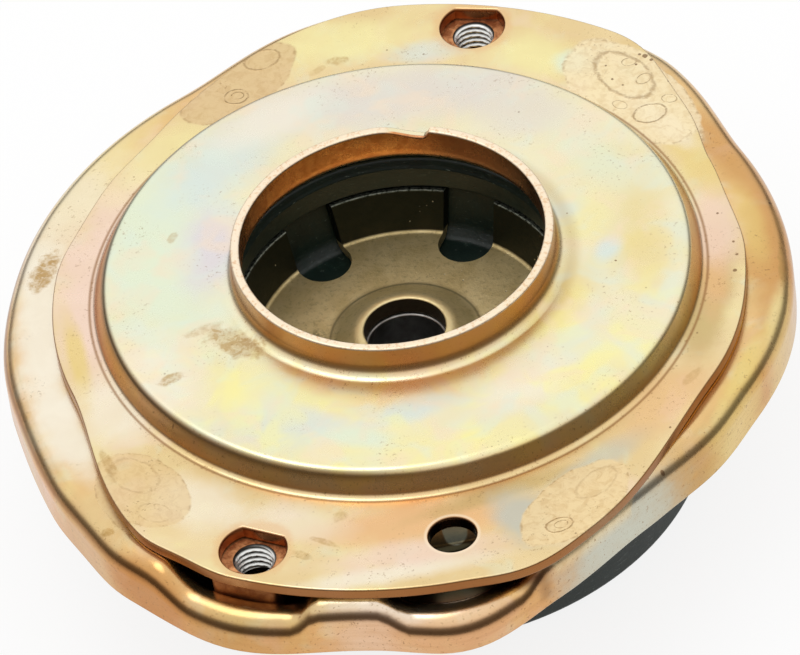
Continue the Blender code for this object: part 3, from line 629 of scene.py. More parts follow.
def build_plate():
    plate = lofted("pressed_top_plate", plate_section, [1.25 * step for step in range(288)])
    cutters = [
        hole_cutter("rear_hole", lambda grow: d_hole(REAR_HOLE, grow)),
        hole_cutter("front_hole", lambda grow: d_hole(FRONT_HOLE, grow)),
        hole_cutter("pilot", pilot_hole),
    ]
    return carve(plate, cutters)


def build_pan():
    return settle(lofted("pressed_pan", pan_section, [1.25 * step for step in range(288)]))


def nut_section(angle):
    """A square nut with soft corners, round a thread that climbs one pitch a turn."""
    c = abs(math.cos(math.radians(angle)))
    s = abs(math.sin(math.radians(angle)))
    side = NUT_SIDE / 2 / (c**NUT_SQUARENESS + s**NUT_SQUARENESS) ** (1 / NUT_SQUARENESS)
    chamfer = 0.25
    section = [(side - 0.3, NUT_LOW), (side, NUT_LOW + 0.3), (side, NUT_HIGH - 0.3)]
    section += [(side - 0.3, NUT_HIGH), (THREAD_MAJOR + 0.1, NUT_HIGH)]
    high = NUT_HIGH - chamfer
    low = NUT_LOW + chamfer
    steps = 70
    for step in range(steps + 1):
        z = high + (low - high) * step / steps
        phase = (z / THREAD_PITCH - angle / 360) % 1.0
        ridge = min(1.0, max(0.0, 1.5 * (1 - abs(2 * phase - 1)) - 0.2))
        runout = min(1.0, min(high - z, z - low) / 0.3)
        radius = THREAD_MAJOR + (THREAD_MINOR - THREAD_MAJOR) * ridge * runout
        section.append((radius, z))
    section.append((THREAD_MAJOR + 0.1, NUT_LOW))
    return section


def build_nut(name, hole):
    nut = lofted(name, nut_section, [3.75 * step for step in range(96)])
    x, y = polar(hole)
    spin = Matrix.Rotation(math.radians(hole[1]), 4, "Z")
    nut.data.transform(Matrix.Translation((x * MM, y * MM, 0)) @ spin)
    return settle(nut)


def build_cup():
    upper = [(31.5, CUP_RIM, 0.35, 3), (29.2, CUP_FLOOR, 0.8, 6), (14.3, CUP_FLOOR, 1.3, 6)]
    boss = [
        (9.4, CUP_FLOOR + 2.8, 0.9, 5),
        (CUP_BORE, CUP_FLOOR + 2.8, 0.4, 4),
        (CUP_BORE, CUP_FLOOR - 0.8, 0.2, 2),
        (12.3, CUP_FLOOR - 0.8, 0.4, 2),
    ]
    cup = turned("pressed_cup", upper + boss + under_side(upper, CUP_SHEET)[::-1], 160)
    cutters = []
    for number in range(6):
        turn = math.radians(59.5 + 60 * number)
        arc = [math.pi / 2 + math.pi * step / 24 for step in range(25)]
        outline = [(CUP_SLOT_PLACE + CUP_SLOT * math.cos(a), CUP_SLOT * math.sin(a)) for a in arc]
        outline = [(35.0, CUP_SLOT)] + outline + [(35.0, -CUP_SLOT)]
        c = math.cos(turn)
        s = math.sin(turn)
        placed = [(x * c - y * s, x * s + y * c) for x, y in outline]
        cutters.append(stacked(f"slot_{number}", [(placed, 25.0), (placed, 38.0)]))
    return carve(cup, cutters)


def build_rubber():
    corners = [
        (37.7, 45.2, 1.2, 4),
        (39.9, 38.9, 1.2, 4),
        (47.0, 37.7, 0.8, 3),
        (48.2, 36.5, 0.8, 3),
        (46.7, 26.3, 0.8, 3),
        (45.2, 23.8, 0.8, 3),
        (42.7, 22.3, 0.8, 3),
        (24.7, 22.3, 0.2, 2),
        (24.7, 19.5, 0.3, 2),
        (23.8, 19.5, 0.3, 2),
        (22.8, 15.5, 1.2, 5),
        (11.8, 15.5, 0.5, 3),
        (11.8, 25.7, 0.3, 2),
        (30.0, 25.7, 0.8, 3),
        (31.8, 28.0, 0.8, 3),
        (34.2, 37.3, 0.3, 2),
        (31.9, 37.3, 0.5, 3),
        (31.9, 42.3, 0.5, 3),
        (30.8, 43.0, 0.2, 2),
        (31.2, 43.7, 0.3, 2),
        (31.7, 45.2, 0.6, 3),
    ]
    return settle(turned("moulded_rubber_ring", corners, 144))


def build_pad():
    corners = [
        (55.1, 8.2, 0.3, 2),
        (55.5, 7.2, 0.4, 3),
        (55.5, 0.0, 1.2, 6),
        (53.2, 0.0, 0.4, 3),
        (52.0, 2.0, 0.6, 3),
        (42.5, 2.0, 0.6, 3),
        (41.3, 0.0, 0.4, 3),
        (38.0, 0.0, 1.2, 6),
        (38.0, 6.8, 0.3, 2),
        (50.3, 6.8, 0.3, 2),
        (50.3, 3.8, 0.3, 2),
        (52.9, 3.8, 0.3, 2),
        (52.9, 8.2, 0.3, 2),
    ]
    return settle(turned("moulded_spring_pad", corners, 160))


def build_seat():
    corners = [
        (52.6, 4.1, 0.4, 3),
        (52.6, SEAT_TOP, 3.0, 7),
        (26.4, SEAT_TOP, 2.6, 7),
        (26.4, 18.9, 0.4, 3),
        (SEAT_NECK, 18.9, 0.4, 3),
        (SEAT_NECK, 7.1, 4.6, 9),
        (50.6, 7.1, 1.0, 5),
        (50.6, 4.1, 0.4, 3),
    ]
    return settle(turned("pressed_spring_seat", corners, 144))


def build_seal():
    corners = [
        (44.7, 18.9, 0.2, 2),
        (45.75, 16.9, 0.8, 3),
        (45.75, 9.4, 0.5, 3),
        (43.95, 9.4, 0.3, 2),
        (43.95, 18.9, 0.2, 2),
    ]
    return settle(turned("moulded_seal", corners))


def build_race(name, side):
    """A pressed ring that wraps the balls from above (side 1) or below (side -1)."""
    turns = [math.radians(30 + 120 * step / 14) for step in range(15)]
    back = [(RACE_BACK * math.cos(t), RACE_BACK * math.sin(t)) for t in turns]
    groove = [(RACE_GROOVE * math.cos(t), RACE_GROOVE * math.sin(t)) for t in turns[::-1]]
    outer = [(RACE_HALF_WIDTH, 0.85), (RACE_HALF_WIDTH, 2.45)]
    inner = [(-RACE_HALF_WIDTH, 2.45), (-RACE_HALF_WIDTH, 0.85)]
    section = outer + back + inner + groove
    placed = [(BALL_CIRCLE + x, BALL_HEIGHT + side * z) for x, z in section]
    return settle(lofted(name, lambda angle: placed, [3 * step for step in range(120)]))


def build_bush():
    corners = [(11.5, 26.9, 0.3, 2), (11.5, 14.9, 0.5, 3), (7.3, 14.9, 0.3, 2), (7.3, 26.9, 0.5, 3)]
    return settle(turned("turned_bush", corners, 96))


def build_ball(name, node, mesh):
    low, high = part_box(node)
    ball = added(name, mesh)
    ball.location = (Vector(low) + Vector(high)) / 2
    return ball


def ball_mesh():
    mesh = bpy.data.meshes.new("ground_ball")
    shape = bmesh.new()
    bmesh.ops.create_uvsphere(shape, u_segments=32, v_segments=20, radius=BALL_RADIUS * MM)
    shape.to_mesh(mesh)
    shape.free()
    mesh.shade_smooth()
    return mesh


# Finishes


def tone(red, green, blue):
    """A colour as it looks on a screen, 0 to 255, made linear."""
    linear = []
    for value in (red, green, blue):
        share = value / 255
        linear.append(share / 12.92 if share <= 0.04045 else ((share + 0.055) / 1.055) ** 2.4)
    return tuple(linear)


PINK = tone(246, 218, 200)
ORANGE = tone(240, 188, 134)
TAN = tone(222, 192, 142)
GOLD = tone(236, 210, 130)
YELLOW = tone(248, 238, 174)
CREAM = tone(249, 240, 220)
LILAC = tone(226, 216, 224)
ROSE = tone(228, 220, 212)
SKY = tone(216, 230, 230)
MINT = tone(228, 240, 216)
SILVER = tone(196, 200, 188)
OLIVE = tone(196, 168, 108)
BROWN = tone(206, 150, 88)
WELD_BROWN = tone(150, 112, 66)

# Clouds of colour in the plating, a few of them painted light as marked: x, y, half length, half width,
# direction, colour, strength
DOME_CLOUDS = (
    (-44.0, 12.0, 34.0, 16.0, 90.0, MINT, 0.8),
    (-34.0, 11.0, 14.0, 7.0, 80.0, LILAC, 0.8),
    (-24.0, -41.0, 15.0, 9.0, -30.0, SKY, 0.6),
    (-30.0, 34.0, 18.0, 9.0, 45.0, SKY, 0.7),
    (-47.0, -22.0, 16.0, 9.0, 110.0, CREAM, 0.7),
    (2.0, 46.0, 34.0, 10.0, 0.0, ROSE, 0.85),
    (-20.0, 44.0, 14.0, 6.0, 25.0, CREAM, 0.6),
    (28.0, 37.0, 16.0, 9.0, -35.0, ROSE, 0.6),
    (40.0, 22.0, 13.0, 5.0, -60.0, MINT, 0.5),
    (-29.0, -29.0, 12.0, 7.0, -45.0, YELLOW, 0.6),
    (-8.0, -50.0, 26.0, 6.0, -5.0, YELLOW, 0.75),
    (-15.0, -34.0, 14.0, 4.5, -25.0, YELLOW, 0.8),
    # Painted light: this peach cloud brightens the dome at the collar's front foot, where the collar's
    # shade falls
    (3.0, -35.5, 18.0, 5.0, 6.0, tone(250, 214, 164), 0.8),
    (-18.0, -29.5, 9.0, 3.0, -35.0, ORANGE, 0.4),
    (28.0, -18.0, 12.0, 6.0, 60.0, GOLD, 0.75),
    (21.0, -38.0, 12.0, 7.0, 30.0, CREAM, 0.6),
    (34.0, -38.0, 10.0, 5.0, 40.0, YELLOW, 0.5),
    (47.0, -6.0, 16.0, 6.0, 85.0, GOLD, 0.55),
    (37.0, 4.0, 9.0, 6.0, 70.0, YELLOW, 0.6),
    (40.2, -4.9, 4.0, 2.6, 60.0, SKY, 0.8),
    (33.0, 7.0, 4.0, 2.4, 20.0, SKY, 0.5),
    (-2.3, -41.0, 9.0, 3.4, 10.0, SKY, 0.7),
    (-12.0, -45.5, 8.0, 2.8, -15.0, MINT, 0.8),
    (12.0, -50.0, 12.0, 4.0, 12.0, YELLOW, 0.6),
)
FLANGE_CLOUDS = (
    (-58.0, 4.0, 26.0, 9.0, 90.0, PINK, 0.95),
    (-50.0, 31.0, 15.0, 8.0, 55.0, PINK, 0.8),
    (-42.0, 44.0, 16.0, 5.0, 45.0, YELLOW, 0.6),
    (-62.0, -10.0, 16.0, 2.2, 95.0, GOLD, 0.8),
    (-57.0, -24.0, 12.0, 7.0, 100.0, CREAM, 0.7),
    (-43.0, -52.0, 12.0, 7.0, -35.0, CREAM, 0.6),
    (-8.0, -77.0, 22.0, 3.0, 2.0, CREAM, 0.8),
    (-2.0, -65.0, 24.0, 6.5, -3.0, ORANGE, 0.8),
    (-4.0, -73.0, 20.0, 4.0, 0.0, PINK, 0.7),
    (12.0, -60.5, 18.0, 2.5, 14.0, OLIVE, 0.6),
    (-26.0, -60.0, 12.0, 6.0, -20.0, CREAM, 0.5),
    (17.0, -68.0, 6.0, 10.0, 30.0, SILVER, 0.85),
    (31.0, -57.0, 14.0, 3.5, 35.0, SILVER, 0.6),
    (57.5, -16.0, 24.0, 5.0, 75.0, OLIVE, 0.7),
    (59.5, -6.0, 16.0, 3.5, 85.0, ORANGE, 0.6),
    (61.0, 2.0, 12.0, 6.0, 90.0, PINK, 0.75),
    (47.0, -42.0, 14.0, 7.0, 45.0, ORANGE, 0.5),
    (33.0, 57.0, 9.0, 7.0, -30.0, YELLOW, 0.85),
    (40.0, 54.0, 4.5, 4.0, 0.0, MINT, 0.9),
    (-4.0, 69.0, 17.0, 7.0, 0.0, YELLOW, 0.8),
    (12.0, 63.0, 9.0, 3.5, 0.0, SKY, 0.5),
    (60.0, 22.0, 12.0, 5.0, -70.0, GOLD, 0.6),
    (55.0, 33.0, 11.0, 3.0, -58.0, CREAM, 0.7),
)
PAN_CLOUDS = (
    (-68.0, 6.0, 36.0, 6.5, 90.0, CREAM, 0.95),
    (-55.0, 44.0, 22.0, 8.0, 52.0, YELLOW, 0.6),
    (-60.0, 34.0, 20.0, 7.0, 60.0, CREAM, 0.6),
    (-66.0, -24.0, 18.0, 5.0, 105.0, CREAM, 0.9),
    (-62.0, -49.0, 12.0, 7.0, -55.0, TAN, 0.6),
    (-54.0, -66.0, 12.0, 5.0, -40.0, BROWN, 0.8),
    (-36.0, -76.0, 13.0, 4.0, -15.0, OLIVE, 0.6),
    (-18.0, -79.0, 7.0, 2.5, 0.0, OLIVE, 0.6),
    # Painted highlight: the next two clouds whiten the top of the front bead
    (-9.0, -80.5, 15.0, 3.5, 0.0, CREAM, 0.9),
    (-4.0, -86.0, 24.0, 8.0, 0.0, PINK, 0.35),
    (37.0, -69.0, 10.0, 22.0, 128.0, SILVER, 0.9),
    (71.0, -8.0, 28.0, 6.0, 88.0, BROWN, 0.75),
    (68.0, 4.0, 14.0, 3.0, 95.0, GOLD, 0.5),
    (74.0, -18.0, 14.0, 3.0, 80.0, BROWN, 0.8),
    (66.0, -36.0, 16.0, 3.0, 62.0, BROWN, 0.5),
    (52.0, -56.0, 18.0, 7.0, 48.0, OLIVE, 0.5),
    (60.0, -44.0, 12.0, 4.0, 55.0, YELLOW, 0.7),
    (70.0, -22.0, 14.0, 2.5, 75.0, YELLOW, 0.6),
    (62.0, -34.0, 12.0, 2.5, 60.0, GOLD, 0.8),
    (66.0, 26.0, 20.0, 5.0, -65.0, BROWN, 0.65),
    (50.0, 58.0, 16.0, 4.0, -40.0, TAN, 0.7),
)
# Stained ovals round the spot welds: x, y, half length, half width, direction, colour, strength
WELD_STAINS = (
    (-25.0, 61.5, 14.5, 7.0, 38.0, tone(224, 196, 150), 0.8),
    (50.0, 43.0, 18.0, 10.0, -58.0, tone(248, 232, 194), 0.8),
    (26.5, -66.0, 13.5, 7.0, 42.0, tone(240, 216, 168), 0.9),
    (-53.0, -46.0, 12.0, 7.5, -58.0, tone(230, 202, 152), 0.6),
)
# Rings round the spot welds: x, y, half length, half width, direction, strength
SPOT_WELDS = (
    (-20.0, 67.4, 3.6, 2.6, 20.0, 0.8),
    (-25.9, 57.9, 2.3, 2.0, 0.0, 1.0),
    (-25.6, 58.1, 1.2, 1.0, 0.0, 1.0),
    (49.0, 48.0, 7.6, 4.4, -62.0, 0.8),
    (52.6, 36.2, 3.2, 2.5, 10.0, 1.0),
    (50.4, 51.6, 1.5, 1.1, 10.0, 0.9),
    (52.6, 46.2, 1.7, 1.2, 40.0, 0.9),
    (56.8, 39.6, 1.5, 1.1, -20.0, 0.8),
    (47.2, 39.8, 1.6, 1.0, -40.0, 0.7),
    (-54.0, -42.0, 5.4, 3.6, -50.0, 0.35),
    (-51.0, -52.6, 3.4, 2.2, -30.0, 0.3),
    (31.0, -61.5, 4.8, 2.6, 40.0, 0.35),
    (23.0, -71.0, 2.6, 1.7, 15.0, 1.0),
    (23.3, -70.9, 1.3, 0.9, 15.0, 1.0),
)
# Brown stains: x, y, half length, half width, direction, strength
STAINS = (
    (-66.8, 19.5, 6.4, 2.6, 62.0, 0.9),
    (-32.0, -16.0, 7.5, 3.4, -40.0, 0.75),
    (-37.5, -11.0, 5.0, 1.4, 15.0, 0.4),
    (-45.0, -23.0, 2.8, 1.6, 20.0, 0.7),
    (-41.4, 15.3, 1.9, 1.1, 60.0, 0.4),
    (-25.0, -69.0, 2.4, 1.2, -30.0, 0.5),
    (-20.5, -66.5, 3.4, 0.8, -35.0, 0.5),
    (-60.3, -52.6, 1.5, 1.0, -20.0, 0.9),
    (-58.5, -38.0, 1.2, 4.5, 15.0, 0.5),
    (52.0, -37.0, 3.2, 1.2, 45.0, 0.35),
    (-36.5, -63.0, 1.6, 1.0, 10.0, 0.6),
    (-17.0, -60.5, 2.0, 1.4, 70.0, 0.35),
    (-5.5, 64.0, 2.4, 1.4, 0.0, 0.5),
    (-9.5, 62.0, 2.0, 1.0, 30.0, 0.35),
    (72.6, -7.0, 7.0, 1.1, 86.0, 0.6),
    (73.4, 5.0, 5.0, 0.8, 96.0, 0.45),
    (67.5, -30.0, 6.0, 0.9, 66.0, 0.5),
)
# Dark flecks along the plate's edge and the bead: x, y, radius
FLECKS = (
    (63.3, -10.4, 0.45),
    (64.2, -6.2, 0.3),
    (64.0, -2.6, 0.3),
    (62.0, 5.8, 0.3),
    (72.4, 10.5, 0.35),
    (65.6, -34.5, 0.5),
    (43.5, -56.9, 0.5),
    (46.2, -49.8, 0.3),
    (74.4, -22.0, 0.6),
    (75.0, -17.5, 0.5),
    (53.6, 52.6, 0.6),
    (54.7, 51.3, 0.4),
    (52.6, 53.3, 0.35),
    (45.8, 51.5, 0.25),
    (46.6, 47.4, 0.3),
    (48.4, 45.3, 0.25),
    (51.6, 50.6, 0.3),
    (57.2, 44.6, 0.25),
    (41.2, -8.6, 0.25),
    (33.6, 6.0, 0.2),
    (-45.6, -33.6, 0.25),
    (18.3, 71.0, 0.25),
)


def plated(name, ground, clouds):
    """Yellow chromated zinc: clouds of colour over two close tones, with drawn streaks on bends."""
    f = Finish(name, metallic=1.0)
    ripples = f.noise(9.0, 3.0, 0.55, 0.4, 17.0)
    grain = f.noise(0.55, 4.0, 0.65, 0.0, 29.0)
    fine = f.noise(1.6, 4.0, 0.7, 0.3, 71.0)
    base = f.mix(f.noise(24.0, 2.0, 0.5, 0.3, 3.0).rising(0.35, 0.65), ground[0], ground[1])
    base = f.mix(f.noise(13.0, 3.0, 0.5, 0.5, 43.0).rising(0.48, 0.68) * 0.35, base, YELLOW)
    base = f.mix(f.noise(11.0, 3.0, 0.5, 0.5, 57.0).rising(0.5, 0.7) * 0.35, base, PINK)
    base = f.mix(f.noise(8.0, 3.0, 0.5, 0.5, 83.0).rising(0.56, 0.72) * 0.3, base, MINT)
    for x, y, length, width, turn, colour, strength in clouds:
        here = 1 - f.spot(x, y, width, length, turn, 0.9, 9.0).rising(0.35, 1.25)
        base = f.mix(here * strength, base, colour)
    base = f.mix(ripples.rising(0.3, 0.7) * 0.1, base, tone(206, 176, 128))
    bent = 1 - f.up.rising(0.9, 0.985)
    base = f.mix(f.drawn(0.8, 22.0).rising(0.42, 0.66) * bent * 0.14, base, tone(190, 148, 92))
    return f, base, ripples, grain, fine


def stained(f, base, fine, level):
    """Adds weld stains and their rings where level is 1, then dirt, flecks and fine grime."""
    covered = []
    smudge = f.noise(2.0, 4.0, 0.65, 0.9, 61.0).rising(0.42, 0.66)
    for x, y, length, width, turn, colour, strength in WELD_STAINS:
        away = f.spot(x, y, width, length, turn, 0.35, 9.0)
        here = (1 - away.rising(0.95, 1.02)) * level
        tinted = f.mix(smudge * 0.35, colour, f.mix(1.0, colour, tone(214, 192, 160), "MULTIPLY"))
        base = f.mix(here * strength, base, tinted)
        base = f.mix(away.band(0.97, 0.04) * level * smudge * 0.4, base, WELD_BROWN)
        covered.append(here)
    rings = []
    for x, y, length, width, turn, strength in SPOT_WELDS:
        away = f.spot(x, y, width, length, turn, 0.35, 2.2)
        rings.append(away.band(1.0, 0.13) * strength)
    rings = most(rings) * level * fine.rising(0.3, 0.55)
    base = f.mix(rings * 0.6, base, WELD_BROWN)
    dirt = []
    for x, y, length, width, turn, strength in STAINS:
        away = f.spot(x, y, width, length, turn, 1.3, 2.2)
        dirt.append((1 - away.rising(0.6, 1.05)) * strength)
    dirt = most(dirt) * f.up.rising(0.3, 0.7)
    streaky = f.noise(1.5, 4.0, 0.7, 0.6, 47.0)
    base = f.mix(dirt * (0.35 + 0.65 * streaky.rising(0.35, 0.6)), base, tone(186, 148, 86))
    flecks = most([1 - f.spot(x, y, r, r, 0.0, 1.0, 0.7).rising(0.7, 1.05) for x, y, r in FLECKS])
    dots = (1 - f.cells(5.2).rising(0.03, 0.055)) * f.noise(20.0, 2.0, 0.5, 0.0, 91.0).rising(0.48, 0.6)
    flecks = flecks.at_least(dots * 0.8) * f.up.rising(0.2, 0.5)
    base = f.mix(flecks * 0.75, base, tone(118, 80, 48))
    specks = f.noise(0.7, 2.0, 0.8, 0.0, 5.0).rising(0.6, 0.7)
    grimy = f.noise(12.0).rising(0.45, 0.65) * 0.45
    grimy = grimy.at_least((1 - f.up.rising(0.75, 0.97)) * 0.55)
    grimy = grimy.at_least(f.radius.band(DOME_BASE + 1.0, 1.8) * f.z.band(PLATE_TOP, 0.6) * 0.6)
    base = f.mix(specks * grimy, base, tone(140, 100, 58))
    return base, most(covered), rings, dirt


def painted_wall_shade(f, base, strength):
    """Painted shade on steep walls: the plating made darker and browner there, more olive on the right.
    """
    side = f.mix(f.x.rising(10.0, 45.0), tone(220, 168, 118), tone(220, 184, 124))
    brown = f.mix(1.0, base, side, "MULTIPLY")
    return f.mix(f.steep() * strength, base, brown)


def plate_finish():
    """The top plate: a pale cool dome, yellower on the right, on a tan flange."""
    name = "yellow_zinc_plate_finish"
    ground = (tone(240, 217, 168), tone(234, 207, 152))
    f, flange, ripples, grain, fine = plated(name, ground, FLANGE_CLOUDS)
    tones = (tone(243, 235, 200), tone(239, 227, 184))
    dome = f.mix(f.noise(22.0, 2.0, 0.5, 0.3, 5.0).rising(0.35, 0.65), *tones)
    dome = f.mix(f.noise(12.0, 3.0, 0.5, 0.4, 23.0).rising(0.5, 0.7) * 0.35, dome, YELLOW)
    for x, y, length, width, turn, colour, strength in DOME_CLOUDS:
        here = 1 - f.spot(x, y, width, length, turn, 0.8, 9.0).rising(0.3, 1.3)
        dome = f.mix(here * strength, dome, colour)
    front = f.y.rising(0.0, -30.0)
    yellow = f.noise(8.0, 2.0, 0.5, 0.6, 11.0).rising(0.42, 0.7) * front
    dome = f.mix(yellow * 0.5, dome, tone(255, 247, 160))
    dome = f.mix(f.noise(9.0, 2.0, 0.5, 0.6, 15.0).rising(0.46, 0.72) * 0.45, dome, tone(226, 238, 224))
    dome = f.mix(f.noise(8.0, 2.0, 0.5, 0.6, 19.0).rising(0.48, 0.72) * 0.45, dome, tone(250, 226, 196))
    on_dome = 1 - f.radius.rising(DOME_BASE - 1.4, DOME_BASE + 0.8)
    on_dome = on_dome * f.z.rising(PLATE_TOP + 0.2, PLATE_TOP + 1.6)
    base = f.mix(on_dome, flange, dome)
    # Painted shade: steep walls of the plate darkened and browned
    base = painted_wall_shade(f, base, 0.9)
    base, stain, rings, dirt = stained(f, base, fine, f.z.rising(38.0, 42.0))

    inside = 1 - f.radius.rising(COLLAR_INNER + 0.35, COLLAR_INNER + 0.6)
    inside = inside * (1 - f.z.rising(COLLAR_TOP - 0.8, COLLAR_TOP - 0.3))
    # Painted reflection: a bright copper tone on the collar's inner wall, with painted shade on its
    # right
    collar_reflection_and_shade = f.mix(fine.rising(0.3, 0.7), tone(248, 170, 104), tone(214, 128, 70))
    collar_reflection_and_shade = f.mix(f.x.rising(0.0, 16.0) * f.z.rising(46.0, 50.0) * 0.88, collar_reflection_and_shade, tone(122, 76, 58))
    base = f.mix(inside * 0.9, base, collar_reflection_and_shade)
    # Painted shade on the collar's steep outer wall
    collar_wall_shade = f.radius.rising(COLLAR_OUTER - 0.9, COLLAR_OUTER - 0.5)
    collar_wall_shade = collar_wall_shade * (1 - f.radius.rising(COLLAR_OUTER + 0.2, COLLAR_OUTER + 1.2))
    collar_wall_shade = collar_wall_shade * f.z.rising(DOME_MIDDLE + 0.5, DOME_MIDDLE + 2.0)
    base = f.mix(collar_wall_shade * f.steep() * 0.75, base, tone(184, 130, 82))
    # Painted shade: a crisp dark line at the top of the dome's wall, on the left
    painted_shoulder_shade = f.radius.band(DOME_SHOULDER + 0.2, 0.9) * f.x.rising(12.0, -20.0)
    painted_shoulder_shade = painted_shoulder_shade * f.z.rising(PLATE_TOP + 1.5, PLATE_TOP + 2.5)
    base = f.mix(painted_shoulder_shade * 0.8, base, tone(112, 78, 40))
    # Painted shade: a soft olive ring round the collar's foot, on the right
    ring = f.radius.band(COLLAR_OUTER + 2.8, 2.6) * f.x.rising(8.0, 26.0)
    ring = ring * f.z.rising(DOME_MIDDLE - 0.5, DOME_MIDDLE - 0.2)
    base = f.mix(ring * 0.35, base, tone(186, 156, 104))
    lip = f.z.rising(COLLAR_TOP - 0.65, COLLAR_TOP - 0.2)
    lip = lip * (1 - f.radius.rising(COLLAR_OUTER + 0.4, COLLAR_OUTER + 0.8))
    pitted = f.noise(0.8, 3.0, 0.7, 0.0, 3.0)
    rough_edge = f.mix(pitted.rising(0.5, 0.68), tone(255, 236, 210), tone(236, 196, 156))
    base = f.mix(lip * 0.85, base, rough_edge)
    # Painted shade on the plate's steep outer edge
    edge = f.radius.rising(DOME_BASE + 6.0, DOME_BASE + 7.0) * (1 - abs(f.up).rising(0.4, 0.9))
    base = f.mix(edge * 0.8, base, tone(142, 90, 52))
    # Painted shade: a thin dark line in the crease round the dome's base
    line = f.radius.band(DOME_BASE + 1.0, 0.5) * f.z.band(PLATE_TOP + 0.05, 0.4)
    base = f.mix(line * 0.75, base, tone(150, 104, 60))
    # Painted shade in the crease at the collar's foot
    crease_shade = f.radius.band(COLLAR_OUTER + 0.6, 0.8) * f.z.band(DOME_MIDDLE + 0.3, 0.7)
    base = f.mix(crease_shade * 0.35, base, tone(186, 136, 84))
    for hole in (REAR_HOLE, FRONT_HOLE):
        x, y = polar(hole)
        near = 1 - f.spot(x, y, D_RADIUS + 2.4, D_RADIUS + 2.4, 0.0, 0.5).rising(0.76, 1.0)
        base = f.mix(near * 0.4, base, tone(232, 178, 120))
        # Painted shade on the walls inside the D-holes
        wall = 1 - f.spot(x, y, D_RADIUS + 1.0, D_RADIUS + 1.0).rising(0.96, 1.0)
        wall = wall * (1 - f.up.rising(0.55, 0.95))
        base = f.mix(wall * 0.8, base, tone(150, 88, 52))
    x, y = polar(PILOT_HOLE)
    mouth = f.spot(x, y, 1.0, 1.0)
    # Painted highlight: a pale ring round the pilot hole's rolled mouth
    base = f.mix(mouth.band(PILOT_BORE + 0.6, 0.5) * 0.6, base, tone(255, 236, 206))
    # Painted shade on the wall inside the pilot hole
    wall = 1 - mouth.rising(PILOT_BORE + 0.05, PILOT_BORE + 0.35)
    wall = wall * (1 - f.up.rising(0.5, 0.9))
    base = f.mix(wall * 0.85, base, tone(70, 52, 36))
    f.colour(base)
    f.rough((0.2 + stain * 0.2 + dirt * 0.2 + ripples * 0.1 + lip * 0.15 + fine * 0.06).clamped())
    low = f.bump(f.noise(22.0, 2.0, 0.5, 0.0, 2.0), 0.4)
    welds = f.bump(rings * 0.6 + stain * (fine - 0.5) * 0.5, 0.14, low)
    f.bump(grain * 0.25 + f.noise(3.0, 3.0, 0.6, 0.0, 8.0) * 0.8, 0.01, welds)
    return f.material


def pan_finish():
    """The pan: more orange than the plate, brown on its bead with a painted dark reflection line,
    silvery near the pad, with painted shade in the front pockets.
    """
    name = "yellow_zinc_pan_finish"
    ground = (tone(236, 196, 136), tone(228, 186, 122))
    f, base, ripples, grain, fine = plated(name, ground, PAN_CLOUDS)
    # Painted shade: steep walls of the pan darkened and browned, more lightly
    base = painted_wall_shade(f, base, 0.5)
    # Painted reflection: a dark line along the bead, for the dim low room it mirrors, weaker on the
    # right
    line = f.up.band(0.46, 0.3) * f.z.rising(PAN_SKIRT + 2.0, PAN_SKIRT + 4.0)
    line = line * f.radius.rising(70.0, 72.0)
    base = f.mix(line * (0.7 - 0.65 * f.x.rising(15.0, 45.0)), base, tone(132, 88, 50))
    cool = 1 - f.spot(38.0, -70.0, 22.0, 9.0, 128.0, 0.9, 9.0).rising(0.4, 1.2)
    base = f.mix(cool * 0.7, base, tone(206, 212, 200))
    base, stain, _, dirt = stained(f, base, fine, f.z.rising(34.0, 39.0))
    x, y = polar(PILOT_HOLE)
    # Painted shade in the front pockets under the plate: near black further in, browner towards the
    # bead
    under = (1 - f.radius.rising(79.6, 81.2)) * f.radius.rising(58.0, 61.0)
    under = under * (1 - f.z.rising(PAN_FLANGE - 1.6, PAN_FLANGE - 0.4))
    under = under * f.z.rising(PAN_SKIRT + 1.0, PAN_SKIRT + 4.0)
    under = under * f.y.rising(-58.0, -64.0) * f.x.rising(21.0, 17.0)
    shade = f.mix(f.radius.rising(74.0, 80.0), tone(24, 36, 30), tone(96, 58, 40))
    base = f.mix(under * 0.95, base, shade)
    patch = 1 - f.spot(x + 0.6, y + 7.4, 1.6, 2.4, 5.0, 0.3).rising(0.9, 1.05)
    base = f.mix(patch * under * 0.9, base, tone(150, 156, 144))
    f.colour(base)
    f.rough((0.15 + dirt * 0.2 + stain * 0.1 + ripples * 0.1 + fine * 0.05).clamped())
    low = f.bump(f.noise(20.0, 2.0, 0.5, 0.0, 2.0), 0.35)
    f.bump(grain * 0.4 + f.noise(3.0, 3.0, 0.6, 0.0, 8.0) * 0.6, 0.02, low)
    return f.material


def nut_finish():
    """Copper-brown faces, darker on their sides as painted shade, and bare, bright threads with painted
    shade in their roots.
    """
    f = Finish("weld_nut_finish", metallic=1.0)
    rear, front = (f.spot(*polar(hole), 1.0, 1.0) for hole in (REAR_HOLE, FRONT_HOLE))
    away = rear.at_most(front)
    thread = 1 - away.rising(THREAD_MAJOR + 0.01, THREAD_MAJOR + 0.15)
    patchy = f.noise(1.6, 4.0, 0.7, 0.5, 4.0)
    face = f.mix(patchy.rising(0.35, 0.65), tone(226, 164, 112), tone(164, 104, 66))
    # Painted shade: the nut's side faces darkened
    face = f.mix((1 - abs(f.up).rising(0.3, 0.8)) * 0.7, face, tone(128, 80, 54))
    # Painted shade in the thread roots
    thread_root_shade = away.rising(THREAD_MAJOR - 0.35, THREAD_MAJOR - 0.07)
    bright = f.mix(thread_root_shade * 0.9, tone(240, 240, 236), tone(40, 40, 36))
    f.colour(f.mix(thread, face, bright))
    f.rough((0.42 - thread * 0.18 + patchy * 0.1).clamped())
    f.bump(patchy, 0.1)
    return f.material


